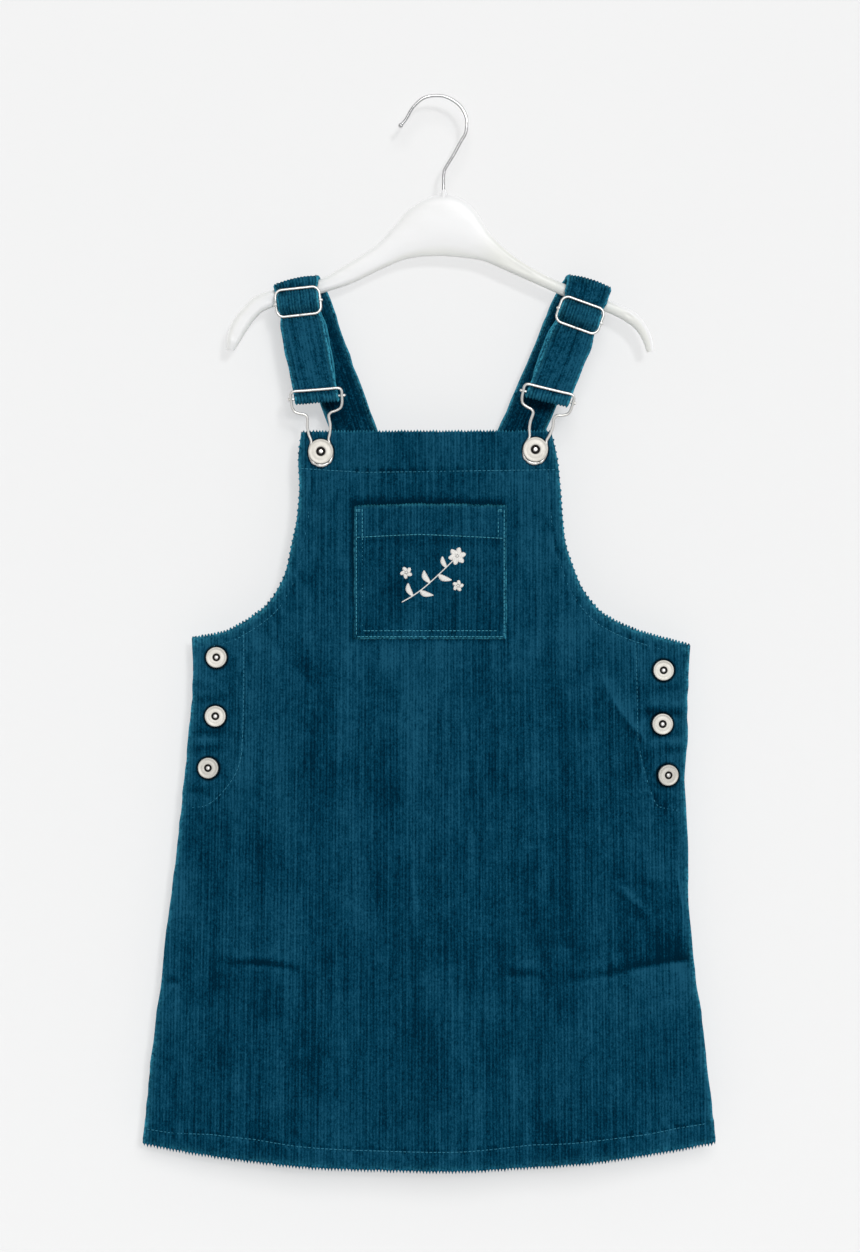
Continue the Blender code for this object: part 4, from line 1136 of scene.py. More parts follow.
def make_pocket():
    shape = Shape()
    x_row = np.append(np.arange(POCKET_LEFT, POCKET_RIGHT, WALE / 4), POCKET_RIGHT)
    rows = stations(POCKET_TOP - POCKET_BOTTOM, POCKET_ROW_STEP, POCKET_ROW_ZONES)
    x, down = np.meshgrid(x_row, rows)
    z = POCKET_TOP - down
    from_middle, from_edge = np.abs(x - POCKET_MIDDLE), pocket_outline(x, z)
    heights = np.broadcast_to(np.resize(WALE_STEPS, len(x_row)), x.shape)
    ragged = 0.9 * heights + 0.5 * noise(x / 2.7, 0.0, 33.0)
    shown_z = z + pocket_lift(x, down) + ragged * np.exp(-down)
    waver = 0.5 * noise(z / 14.0, 0.0, 31.0)
    shown_x = x + waver * np.clip(from_middle / POCKET_HALF - 0.7, 0, 1) / 0.3
    full = rounded(from_edge, EDGE_FALL)
    inner = FRONT.outer(x, z) + CORD_HEIGHT * 0.9
    uneven = 1.0 + 0.12 * noise(x * 0.4, 0.0, 41.0)
    outer = pocket_depth(x, z, heights * uneven * CORD_HEIGHT)
    outer = inner + 0.15 + (outer - inner - 0.15) * full
    weave = np.stack([x + 400.0, z, np.full(x.shape, 77.0)], -1)
    # The right edge is worn most in its lower half, and the left edge in its upper half
    worn = 1.2 + 0.45 * noise(x / 9.0, z / 9.0, 34.0)
    at_side = from_middle > POCKET_HALF - 1.5
    worn += np.where(x > 0.0, 0.5, -0.5) * ease((-350.0 - z) / 10.0) * at_side
    worn -= np.where(x > 0.0, 0.6, 0.0) * ease((z + 350.0) / 8.0) * at_side
    wear_and_shade = worn * np.exp(-from_edge / 0.75) * (0.5 + 0.5 * heights)
    # A lighter band and a darker body, with painted shade just under the band's stitching and in a patch low
    # on the left
    tone_and_shade = 0.13 * ease((POCKET_BAND - down) / 2.0) - 0.1 * ease((down - POCKET_BAND) / 2.0)
    tone_and_shade -= 0.22 * bell(down - POCKET_BAND - 2.2, 1.5) + 0.22 * bell(x + 34.0, 10.0) * bell(z + 376.0, 20.0)
    rib = heights * (0.4 + 0.6 * full)
    front = shape.add(np.stack([shown_x, -outer, shown_z], -1), weave, rib, wear_and_shade, tone_and_shade)
    shape.sheet(front)
    coarse = np.unique(np.append(np.arange(0, len(x_row), INNER_STRIDE), len(x_row) - 1))
    rear = shape.add(np.stack([shown_x, -inner, shown_z], -1)[:, coarse], weave[:, coarse], 0.3)
    shape.sheet(rear[:, ::-1])
    for end in (0, -1):
        shape.join(front[end], rear[end], coarse)
        shape.sheet(np.stack([front[:, end], rear[:, end]], -1))
    return shape.make("bib_pocket_cloth", "corduroy", [CORDUROY], ["bib_pocket"])


def pocket_points(line, lift):
    """Points on the pocket's face along a line of x, z."""
    x, z = np.transpose(line)
    return np.stack([x, -(pocket_depth(x, z) + lift), z + pocket_lift(x, POCKET_TOP - z)], -1)


def pocket_seams():
    shape = Shape()
    (a, b), band, top = POCKET_INSETS, POCKET_TOP - POCKET_BAND, POCKET_TOP - 2.0
    left_a, right_a, low_a = POCKET_LEFT + a, POCKET_RIGHT - a, POCKET_BOTTOM + a
    left_b, right_b, low_b = POCKET_LEFT + b, POCKET_RIGHT - b, POCKET_BOTTOM + b
    # Lines of stitching, each with how high it lies in the cords
    lines = [
        (0.9, (left_a, top), (left_a, low_a)),
        (0.9, (left_a, low_a), (right_a, low_a)),
        (0.9, (right_a, low_a), (right_a, top)),
        (0.9, (left_b, top), (left_b, band)),
        (0.2, (left_b, band), (left_b, low_b)),
        (0.8, (left_b, low_b), (right_b, low_b)),
        (0.15, (right_b, low_b), (right_b, band)),
        (0.6, (right_b, band), (right_b, top)),
        (1.0, (left_a, band), (POCKET_LEFT + 50.0, band + 1.6), (right_a, band - 0.8)),
    ]
    for x in (left_a, right_b):
        for z in (POCKET_TOP - 3.0, POCKET_TOP - 4.0):
            lines.append((0.9, (x, z), (x + b - a, z)))
    for number, (lift, *line) in enumerate(lines):
        line = np.array(line)
        fine = at_lengths(line, np.linspace(0.0, lengths_along(line)[-1], 80))
        points = pocket_points(fine, CORD_HEIGHT * lift)
        add_seam(shape, points, FORWARD, number + 9, POCKET_PITCH, POCKET_STITCH)
    return shape.make("bib_pocket_stitches", "corduroy", [POCKET_THREAD])


# ---------------------------------------------------------------- embroidered sprig

# Stem from its foot to its tip: x, z
SPRIG_STEM = (
    (-27.5, -384), (-19.5, -379.5), (-10.5, -373), (-1.5, -365), (6.5, -357.5), (13, -351),
)
# Leaves: foot x, z, tip x, z, width, bend
SPRIG_LEAVES = (
    (-19.5, -379.5, -22.5, -369.5, 4.2, 1.2), (-13.5, -375.3, -3.5, -378.8, 4, -1.2),
    (-6.5, -369.5, -10.5, -360, 4.4, 1.2), (0.5, -363.2, 10.5, -367.4, 4.2, -1.2),
    (6, -358, 3.5, -349.4, 3.6, 0.8),
)
# Flowers: centre x, z, petals, petal's length and width, turn
SPRIG_FLOWERS = (
    (14.6, -349.2, 6, 6.4, 4.4, 10), (-24, -361.6, 5, 4.3, 3.4, 40), (15.2, -371.6, 5, 3.9, 3.2, 0),
)
SATIN_PITCH = 0.36
STEM_PITCH = 0.42
SATIN_R = 0.24
SATIN_RISE = 0.55
SATIN_LIFT = CORD_HEIGHT * 0.95


def add_thread(shape, line, lift, hump):
    """A thread with closed ends on the pocket along a line of x, z; hump is its rise above it."""
    points = pocket_points(line, lift)
    points[:, 1] -= hump
    rings = []
    for i, (p, along) in enumerate(zip(points, np.gradient(points, axis=0))):
        side = unit(np.cross(unit(along), FORWARD))
        taper = 0.55 if i in (0, len(points) - 1) else 1.0
        rings.append(shape.ring(p, FORWARD, side, SATIN_R * taper, 4))
    shape.tube(rings)


def arch(count):
    """Heights of an arch from 0 to 1 and back."""
    return np.sin(np.linspace(0.0, np.pi, count))


def satin_blade(shape, foot, tip, width, bend):
    """A leaf or petal filled with threads that lie side by side across it."""
    foot = np.array(foot, float)
    length = np.hypot(*(tip - foot))
    along = (tip - foot) / length
    across = np.array([-along[1], along[0]])
    for place in np.arange(0.3, length - 0.15, SATIN_PITCH):
        share = place / length
        half = 0.5 * width * math.sin(math.pi * share**0.8) ** 0.75 + 0.15
        centre = foot + along * place + across * bend * math.sin(math.pi * share)
        end = across * half + along * half * 0.45
        line = centre + np.linspace(-1.0, 1.0, 6)[:, None] * end
        add_thread(shape, line, SATIN_LIFT, arch(6) * min(SATIN_RISE, half * 0.4))


def make_sprig():
    shape = Shape()
    stem = curve_through(SPRIG_STEM, steps=10)
    places = np.arange(0.0, lengths_along(stem)[-1] - 1.0, STEM_PITCH)
    for a, b in zip(at_lengths(stem, places), at_lengths(stem, places + 0.9)):
        along = unit(b - a)
        across = np.array([-along[1], along[0]]) * 0.45
        line = at_lengths(np.array([a - across, b + across]), np.linspace(0.0, 1.27, 4))
        add_thread(shape, line, SATIN_LIFT, np.array([0.0, 0.3, 0.3, 0.0]))
    for foot_x, foot_z, tip_x, tip_z, width, bend in SPRIG_LEAVES:
        satin_blade(shape, (foot_x, foot_z), (tip_x, tip_z), width, bend)
    for x, z, petals, length, width, turn in SPRIG_FLOWERS:
        centre = np.array([x, z])
        for angle in np.radians(turn + 360.0 * np.arange(petals) / petals):
            way = np.array([math.cos(angle), math.sin(angle)])
            satin_blade(shape, centre + way * 1.1, centre + way * (length + 0.4), width, 0.0)
        for angle in np.radians(np.arange(0.0, 180.0, 36.0)):
            way = np.array([math.cos(angle), math.sin(angle)])
            line = centre + np.linspace(-1.15, 1.15, 5)[:, None] * way
            add_thread(shape, line, CORD_HEIGHT + 0.35, arch(5) * 0.45)
    return shape.make("bib_pocket_sprig", "corduroy", [EMBROIDERY_THREAD])


# ---------------------------------------------------------------- tubes and turned pieces


def add_tube(shape, path, radius, sides=WIRE_SIDES, closed=False):
    """A round wire along a path, with painted shade on its two sides; radius is one value or one for each
    point.
    """
    count = len(path)
    rings = []
    normal = None
    for i, (p, here_r) in enumerate(zip(path, np.broadcast_to(radius, count))):
        if closed:
            tangent = unit(path[(i + 1) % count] - path[i - 1])
        else:
            tangent = unit(path[min(i + 1, count - 1)] - path[max(i - 1, 0)])
        if normal is None:
            normal = np.cross(tangent, -FORWARD)
        normal = unit(normal - tangent * normal.dot(tangent))
        rings.append(shape.ring(p, normal, np.cross(tangent, normal), here_r, sides, 0.5, dull=True))
    if closed:
        rings.append(rings[0])
    shape.tube(rings, capped=not closed)


def add_turned(shape, profile, segments, centre, normal):
    """A profile of radius, height and slot of the band that follows, turned about an axis."""
    axis = Vector(normal).normalized()
    first = axis.orthogonal().normalized()
    first, second, axis = np.array(first), np.array(axis.cross(first)), np.array(axis)
    rings = [shape.ring(centre + axis * h, first, second, r, segments) for r, h, _ in profile]
    shape.tube(rings, [slot for _, _, slot in profile[:-1]])


def add_bar(shape, start, end, tip_r, neck, neck_r):
    """A straight wire with rounded ends, and another thickness from the necks inward."""
    along = unit(end - start)
    turns = np.linspace(0.0, math.pi / 2, 5)
    out = np.sin(turns)[:, None] * along * tip_r
    radii = tip_r * np.maximum(np.cos(turns), 0.05)
    path = np.vstack([start - out[::-1], start + along * neck, end - along * neck, end + out])
    add_tube(shape, path, np.concatenate([radii[::-1], [neck_r, neck_r], radii]))


def wire_piece(shape, name):
    """A piece of plated wire that stands for the solid of the same name."""
    return shape.make(f"{name}_wire", "nickel_wire", [WIRE_METAL], [name])


def tilted(degrees):
    """Directions across and up in the plane of the front, turned by an angle."""
    turn = math.radians(degrees)
    across = np.array([math.cos(turn), 0.0, math.sin(turn)])
    return across, np.array([-math.sin(turn), 0.0, math.cos(turn)])


# ---------------------------------------------------------------- buttons

# Turned outlines from the cloth outward: radius, height, and 0 on the face, 1 in the recess, 2 on the stud
BIB_BUTTON = (
    (2.7, 0.2, 0), (2.7, 3.3, 0), (8.7, 3.3, 0), (9.3, 3.6, 0), (9.55, 4.2, 0), (9.45, 4.75, 0),
    (9.1, 5.15, 0), (8.7, 5.25, 0), (8.3, 5.15, 0), (7.9, 5, 0), (6.4, 5.2, 0), (4.6, 5.3, 0),
    (3.9, 5.25, 0), (3.55, 5, 1), (3.35, 4.3, 1), (2.1, 4.1, 1), (1.75, 4.4, 2), (1.65, 5.1, 2),
    (1.35, 5.45, 2), (0.7, 5.6, 2),
)
SIDE_BUTTON = (
    (7.6, 0.2, 0), (8.1, 0.5, 0), (8.35, 1.1, 0), (8.25, 1.8, 0), (7.9, 2.25, 0), (7.5, 2.35, 0),
    (7.1, 2.25, 0), (6.8, 2.1, 0), (5.4, 2.25, 0), (3.9, 2.3, 0), (3.35, 2.25, 0), (3.1, 2, 1),
    (2.9, 1.3, 1), (1.9, 1.2, 1), (1.6, 1.5, 2), (1.5, 2.1, 2), (1.1, 2.45, 2), (0.5, 2.55, 2),
)
# How far each button leans from facing straight out, left or right and up or down; its size
BUTTON_LEAN = {
    "bib_button_left": (0.01, 0.06, 1.0),
    "bib_button_right": (0.0, 0.05, 1.0),
    "side_button_left_1": (0.02, 0.06, 0.95),
    "side_button_left_2": (0.03, 0.06, 0.96),
    "side_button_left_3": (-0.12, 0.08, 0.95),
    "side_button_right_1": (0.03, 0.04, 0.94),
    "side_button_right_2": (0.08, 0.02, 0.96),
    "side_button_right_3": (0.24, -0.04, 0.96),
}


def make_button(node, outline, x, z):
    lean_x, lean_z, size = BUTTON_LEAN[node]
    surface = FRONT.outer(x, z) + CORD_HEIGHT * 0.5
    shape = Shape()
    profile = [(radius * size, height, slot) for radius, height, slot in outline]
    add_turned(shape, profile, BUTTON_SEGMENTS, np.array([x, -float(surface), z]), (lean_x, -1.0, lean_z))
    shape.make(f"{node}_metal", "button_metal", [BUTTON_METAL, BUTTON_RECESS_SHADE, WIRE_METAL], [node], 35.0)


def make_buttons():
    for side, place in BIB_BUTTONS.items():
        make_button(f"bib_button_{side}", BIB_BUTTON, *place)
    for side, places in SIDE_BUTTONS.items():
        for number, place in enumerate(places, 1):
            make_button(f"side_button_{side}_{number}", SIDE_BUTTON, *place)


# ---------------------------------------------------------------- buckles and sliders


def buckle_point(side, right, up, depth):
    """A point given in the buckle's own plane, which leans about its button."""
    x, z = BIB_BUTTONS[side]
    across, upward = tilted(BUCKLE_LEAN[side])
    return np.array([x, -depth, z]) + right * across + up * upward


def make_buckle(side):
    seat = float(FRONT.outer(*BIB_BUTTONS[side])) + CORD_HEIGHT + BUCKLE_SEAT - 0.2 + WIRE_R
    outline = [*BUCKLE_WIRE, *((-a, v) for a, v in BUCKLE_WIRE[-2:0:-1])]
    path = [buckle_point(side, a, v, seat + column(BUCKLE_STAND, v, 1)) for a, v in outline]
    path = curve_through(path, closed=True, steps=6)
    flat = curve_through(outline, closed=True, steps=6)
    # The foot of the loop is pressed flat, with two nicks in it
    foot = bell(flat[:, 1] + 10.0, 3.2)
    nicks = bell(np.abs(flat[:, 0]) - 4.6, 0.8) * (flat[:, 1] < -6.0)
    wire, bar = Shape(), Shape()
    add_tube(wire, path, WIRE_R * (1.0 + 0.45 * foot - 0.6 * nicks), closed=True)
    wire_piece(wire, f"buckle_{side}")
    reach = BUCKLE_BAR_HALF
    ends = (buckle_point(side, a, BUCKLE_BAR_V, BUCKLE_BAR_DEPTH) for a in (-reach, reach))
    add_bar(bar, *ends, BUCKLE_TIP_R, BUCKLE_NECK, WIRE_R)
    wire_piece(bar, f"buckle_bar_{side}")


class StrapLine:
    """Where a strap runs: down the front from its top fold to the buckle and down the rear."""

    def __init__(self, side):
        fold_x, fold_z, fold_tilt, end_x, end_z, end_tilt = STRAP_FOLDS[side]
        self.bow, self.rear_bow = STRAP_BOW[side], STRAP_REAR_BOW[side]
        self.slider_down = SLIDER_DOWN[side]
        self.fold = np.array([fold_x, 0.0, fold_z])
        self.front_end = buckle_point(side, 0.0, BUCKLE_BAR_V, 0.0)
        self.front_length = float(np.linalg.norm(self.front_end - self.fold))
        self.rear_end = np.array([end_x, 0.0, end_z])
        self.rear_length = float(np.linalg.norm(self.rear_end - self.fold))
        self.front_tilts = (
            (0.0, fold_tilt),
            (self.slider_down, (fold_tilt + SLIDER_TILT[side]) / 2),
            (self.slider_down + SLIDER_BAR, SLIDER_TILT[side]),
            (self.slider_down + SLIDER_HEIGHT, SLIDER_TILT[side]),
            (self.front_length - 4.0, BUCKLE_LEAN[side]),
            (self.front_length + 9.0, BUCKLE_LEAN[side]),
        )
        self.rear_tilts = ((0.0, fold_tilt), (30.0, end_tilt), (self.rear_length, end_tilt))

    def place(self, down, depth):
        """Middle point and tilt of the strap, down from the fold and in front of the hanger."""
        front = self.fold + (self.front_end - self.fold) * down / self.front_length
        rear = self.fold + (self.rear_end - self.fold) * down / self.rear_length
        front_share = min(max(down / self.front_length, 0.0), 1.0)
        front[0] += self.bow * math.sin(math.pi * front_share**STRAP_BOW_POWER)
        below = max(down, 0.0)
        bowed = self.rear_bow * (1.0 - math.exp(-below / STRAP_REAR_BLEND))
        rear[0] += bowed * (1.0 - below / self.rear_length)
        share = float(ease((depth + STRAP_FOLD_BLEND) / (2 * STRAP_FOLD_BLEND)))
        middle = rear + (front - rear) * share
        middle[1] = -depth
        front_tilt = column(self.front_tilts, down, 1)
        rear_tilt = column(self.rear_tilts, down, 1)
        return middle, rear_tilt + share * (front_tilt - rear_tilt)

    def width(self, down, depth):
        narrow = float(column(STRAP_PINCH, down - self.slider_down, 1)) if depth > 0.0 else STRAP_WIDTH
        return narrow + STRAP_FLARE * bell(max(down, 0.0), 8.0) * float(ease((depth + 5.0) / 5.0))


def loop_points(down, depth, radius, start, end, count):
    """Points round a bar in the strap's side view; 0 degrees is down and 90 is to the front."""
    angles = np.radians(np.linspace(start, end, count))
    return [(down + radius * math.cos(a), depth + radius * math.sin(a)) for a in angles]


# The strap's middle where it passes through the slider: distance below the slider's top, depth
SLIDER_PASS = (
    (0.9, 8.9), (3.3, 10), (5.3, 13.2), (7.7, 16), (10.7, 16.9), (13.5, 16), (15.5, 13.2), (17.3, 10.3),
    (20.2, 8.85), (25.7, 9),
)


def strap_route(line):
    """The strap's middle in side view, and where its stretch behind itself begins."""
    bar, wire, end = line.front_length, line.slider_down, line.rear_length
    rear = [(end, -6.8), (end - 22.0, -6.8), (end * 0.55, -6.5), (30.0, -6.2), (9.0, -6.1), (4.6, -5.5)]
    over = [(2.0, -3.6), (1.2, 0.0), (1.6, 4.0), (2.7, 7.4), (0.6 * wire, 8.4)]
    slider = [(wire + down, depth) for down, depth in SLIDER_PASS]
    front = [(52.0, 10.4), (bar - 16.0, 11.9), (bar - 8.0, 12.9), (bar - 3.4, 14.9)]
    around = loop_points(bar, BUCKLE_BAR_DEPTH, BUCKLE_LOOP_R, 90.0, -90.0, 9)
    back_up = [(bar - 6.0, 9.8), (bar - 14.0, 9.0), (52.0, 7.6)]
    back_up += [(wire + 25.7, 6.1), (wire + 21.1, 6.0), (wire + 16.1, 7.2)]
    end_loop = loop_points(wire + SLIDER_BAR, SLIDER_DEPTH, BAR_LOOP_R, -60.0, -290.0, 9)
    forward = rear + over + slider + front + around
    return forward + back_up + end_loop, len(forward)


STRAP_WALES = 14
STRAP_FLARE = 1.7  # how much wider the strap is at its top fold
STRAP_CROWN = 2.2  # how much higher the middle of the fold is than its ends
STRAP_HALF = 0.86  # from the strap's middle to the bottom of its grooves
STRAP_CORD = 0.42
STRAP_EDGE_STITCH = 2.7
STRAP_RETURN_SHIFT = {"left": 2.1, "right": -2.1}
STRAP_WEAVE = {"left": 140.0, "right": 260.0}  # where in the cloth's pattern each strap begins


def strap_stations(route):
    """Numbers of the route's points where the strap has turned or gone on far enough."""
    kept = [0]
    for i in range(1, len(route) - 1):
        gone = np.linalg.norm(route[i] - route[kept[-1]])
        ahead, behind = route[i + 1] - route[i], route[i] - route[kept[-1]]
        if gone < STRAP_STEPS[0]:
            continue
        cosine = ahead.dot(behind) / max(np.linalg.norm(ahead) * np.linalg.norm(behind), 1e-9)
        if gone > STRAP_STEPS[1] or cosine < math.cos(math.radians(STRAP_TURN)):
            kept.append(i)
    kept.append(len(route) - 1)
    return kept


def slider_frame(side):
    """The slider's middle, and its directions across and up."""
    line = StrapLine(side)
    middle, _ = line.place(line.slider_down + SLIDER_HEIGHT / 2, SLIDER_DEPTH)
    return middle, *tilted(SLIDER_TILT[side])


def make_strap(side):
    line = StrapLine(side)
    slider_middle, _, slider_up = slider_frame(side)
    corners, return_from = strap_route(line)
    steps = 12
    slider_foot = line.slider_down + SLIDER_HEIGHT
    # Where painted shade lies along the wires that cross the strap
    shaded_at = (
        line.slider_down - 1.5,
        line.slider_down + 2.0,
        slider_foot - 2.0,
        slider_foot + 1.5,
        line.front_length - 4.0,
    )
    route = curve_through(corners, steps=steps)
    kept = strap_stations(route)
    count = STRAP_WALES * 4 + 1
    phase = np.resize(WALE_STEPS, count)
    shares = np.linspace(-1.0, 1.0, count)
    shape = Shape()
    rings, spine = [], []
    gone = 0.0
    for number, i in enumerate(kept):
        here = route[i]
        before, after = route[kept[max(number - 1, 0)]], route[kept[min(number + 1, len(kept) - 1)]]
        middle, tilt = line.place(*here)
        tangent = line.place(*after)[0] - line.place(*before)[0]
        across, _ = tilted(tilt)
        normal = unit(np.cross(tangent, across))
        half = line.width(*here) / 2
        # Where it arches over the slider's bar the cloth spreads and fills the slider
        in_front = i / steps < return_from - 4.0
        if in_front and here[0] < slider_foot:
            spread = float(ease((here[1] - 10.2) / 3.4))
            axis = slider_middle + slider_up * float((middle - slider_middle).dot(slider_up))
            middle = middle + across * float((axis - middle).dot(across)) * spread
            half += (SLIDER_HALF_WIDTH - 0.5 - half) * spread
        if number:
            gone += float(np.linalg.norm(here - route[kept[number - 1]]))
        # The stretch behind lies a little to one side, and both edges waver
        behind = ease((i / steps - return_from - 0.5) / 1.2)
        near_slider = ease((here[0] - line.slider_down - 20.0) / 18.0)
        middle = middle + across * STRAP_RETURN_SHIFT[side] * behind * (0.3 + 0.7 * near_slider)
        waver = 0.6 * noise(gone / 10.0, 0.0, 51.0) + 0.3 * noise(gone / 3.6, 0.0, 53.0)
        a = shares * half
        edge = half - np.abs(a)
        full = rounded(edge, 1.5)
        bend = np.linalg.norm(after - 2 * here + before) / max(np.linalg.norm(after - before) ** 2 / 4, 0.04)
        tight = min(bend * 4.0, 1.0)
        cord = STRAP_CORD * (1.0 + 1.6 * tight) * phase ** (1.0 + tight)
        sunk = 0.28 * bell(edge - STRAP_EDGE_STITCH, 0.9)
        plump = 0.25 * bell(edge - 1.2, 1.2) + 0.12 * noise(a / 6.0, gone / 9.0, 52.0)
        thick = (STRAP_HALF + cord + plump - sunk) * full
        shift = across * waver * np.sign(a)[:, None] * (np.abs(shares) ** 6)[:, None]
        base = middle + across * a[:, None] + shift
        base[:, 2] += STRAP_CROWN * (0.4 - shares**2) * bell(max(here[0] - 1.0, 0.0), 6.0)
        wear_and_shade = 1.6 * np.exp(-edge / 1.1) * (0.7 + 0.3 * phase) + 0.25 * min(bend * 3.0, 1.0) * phase
        at_rear = ease(-here[1] / 4.0)
        # Painted shade on the stretch behind and at the top fold
        tone_and_shade = -0.55 * at_rear - 0.3 * bell(here[0], 5.0)
        # Painted shade on the cloth along the wires that cross it
        if in_front and here[1] > 6.0:
            tone_and_shade -= sum(0.55 * bell(here[0] - wire, 1.2) for wire in shaded_at)
        marks = np.stack([a + STRAP_WEAVE[side], np.full(count, gone), np.full(count, 11.0)], -1)
        rib = phase * (0.4 + 0.6 * full) * (1.0 - 0.5 * at_rear)
        face = shape.add(base + normal * thick[:, None], marks, rib, wear_and_shade, tone_and_shade)
        under = base[1:-1] - normal * thick[1:-1, None]
        rear = shape.add(under, marks[1:-1] + 60.0, rib[1:-1], wear_and_shade[1:-1], tone_and_shade)
        rings.append(np.concatenate([face, rear[::-1], face[:1]]))
        spine.append(np.concatenate([middle, across, normal, [half]]))
    shape.tube(rings)
    strap = shape.make(f"strap_{side}_cloth", "strap_corduroy", [STRAP_CORDUROY], [f"strap_{side}"])
    return strap, strap_seams(side, np.array(spine))


def strap_seams(side, spine):
    shape = Shape()
    middle, across, normal, half = spine[:, :3], spine[:, 3:6], spine[:, 6:9], spine[:, 9:]
    lift = STRAP_HALF + STRAP_CORD * 0.55
    for edge in (-1.0, 1.0):
        line = middle + across * edge * (half - STRAP_EDGE_STITCH)
        for face in (-1.0, 1.0):
            add_seam(shape, line + face * normal * lift, face * normal, edge + 3 * face)
    return shape.make(f"strap_{side}_stitches", "strap_corduroy", [STRAP_THREAD])


def make_slider(side):
    half_height = SLIDER_HEIGHT / 2
    middle, across, up = slider_frame(side)
    flat = []
    for corner_x, corner_z, start in ((1, 1, 0), (-1, 1, 90), (-1, -1, 180), (1, -1, 270)):
        for turn in np.radians(start + 11.25 * np.arange(9)):
            a = corner_x * (SLIDER_HALF_WIDTH - SLIDER_CORNER) + SLIDER_CORNER * math.cos(turn)
            v = corner_z * (half_height - SLIDER_CORNER) + SLIDER_CORNER * math.sin(turn)
            flat.append((a, v))
        if start == 180:
            flat += [(a, -half_height) for a in (-8.0, -3.0, -0.6, -0.25, 0.0, 0.25, 0.6, 3.0, 8.0)]
    flat = np.array(flat)
    # The wire's two ends meet in the middle of its lower side
    joint = bell(flat[:, 0], 0.22) * (flat[:, 1] < 0)
    wire, bar = Shape(), Shape()
    path = middle + flat[:, :1] * across + flat[:, 1:] * up
    add_tube(wire, path, WIRE_R * (1.0 - 0.3 * joint), closed=True)
    wire_piece(wire, f"slider_{side}")
    centre = middle + up * (half_height - SLIDER_BAR)
    reach = across * (SLIDER_HALF_WIDTH + SLIDER_TIP_OUT)
    add_bar(bar, centre - reach, centre + reach, SLIDER_TIP_R, SLIDER_NECK, SLIDER_BAR_R)
    places, radii = np.transpose(SLIDER_EYE)
    for edge in (-1.0, 1.0):
        eye = centre + across * edge * SLIDER_HALF_WIDTH
        add_tube(bar, eye + places[:, None] * up, radii, SLIDER_EYE_SIDES)
    wire_piece(bar, f"slider_bar_{side}")


# ---------------------------------------------------------------- hanger


def make_hanger():
    turns = 2.0 * np.pi * (np.arange(HANGER_SIDES) + 0.5) / HANGER_SIDES
    c, s = np.cos(turns), np.sin(turns)
    size = (np.abs(c) ** HANGER_ROUNDING + np.abs(s) ** HANGER_ROUNDING) ** (-1.0 / HANGER_ROUNDING)
    up, out = c * size, s * size
    shape = Shape()
    rings = []
    for upper_x, upper_z, lower_x, lower_z in curve_through(HANGER_STATIONS, steps=HANGER_STEPS):
        middle = np.array([upper_x + lower_x, 0.0, upper_z + lower_z]) / 2
        half = np.array([upper_x - lower_x, 0.0, upper_z - lower_z]) / 2
        reach = float(np.linalg.norm(half))
        # A shallow hollow between a raised rim at the upper and the lower edge
        rim = max(1.0 - HANGER_RIM / max(reach, HANGER_RIM), 0.0)
        hollow = HANGER_HOLLOW * ease((rim - np.abs(up)) / 0.16) if reach > 5.0 else 0.0
        points = middle + half * up[:, None]
        points[:, 1] += out * min(HANGER_HALF_THICK, reach * 0.9) * (1.0 - hollow)
        # Painted shade, a faint grey: on faces turned to the left, away from the light, on the
        # right arm all but its upper rim, and along the lower edge
        on_right = ease((middle[0] - 25.0) / 25.0)
        rim_from = 0.8 - 0.6 * ease((middle[0] - 120.0) / 25.0)
        leftward = 0.45 * ease(-2.6 * half[0] / max(reach, 1.0) * up - 0.05)
        hanger_shade = leftward * (1.0 - on_right) + on_right * (1.0 - ease((up - rim_from) / 0.25))
        hanger_shade = np.maximum(hanger_shade, 0.7 * ease((-up - 0.6) / 0.3))
        numbers = shape.add(points, wear_and_shade=hanger_shade)
        rings.append(np.append(numbers, numbers[0]))
    shape.tube(rings)
    collar = [(radius, height, 0) for radius, height in HOOK_COLLAR]
    foot = np.array([HOOK_WIRE[-1][0], 0.0, HOOK_FOOT_Z])
    add_turned(shape, collar, COLLAR_SIDES, foot, (0.0, 0.0, 1.0))
    ob = shape.make("hanger_moulding", "hanger_plastic", [HANGER_PLASTIC], ["hanger_body"], 50.0)
    ob.visible_diffuse = False  # white before a white wall, it would brighten the wall
    return ob


def make_hook():
    path = curve_through([(x, 0.0, z) for x, z in HOOK_WIRE])
    direction = unit(path[0] - path[1])
    turns = np.linspace(-math.pi / 2, math.pi / 2, 9)[-2::-1]
    ball_path = path[0] + direction * 0.4 + np.sin(turns)[:, None] * direction * HOOK_BALL_R
    ball_r = HOOK_BALL_R * np.maximum(np.cos(turns), 0.05)
    keep = ball_r > HOOK_R * 0.9
    keep[:4] = True
    radii = np.concatenate([ball_r[keep], np.full(len(path) - 2, HOOK_R)])
    shape = Shape()
    add_tube(shape, np.vstack([ball_path[keep], path[2:]]), radii, HOOK_SIDES)
    shape.make("hanger_hook_wire", "hook_wire", [HOOK_METAL], ["hanger_hook"])


# ---------------------------------------------------------------- stage, light and camera

# In metres
WALL_Y = 0.025
WALL_TOP = 1.9
WALL_SIDE = 3.2
FLOOR_Z = -1.6
FLOOR_FRONT = -3.6
COVE_R = 0.3
COVE_STEPS = 12


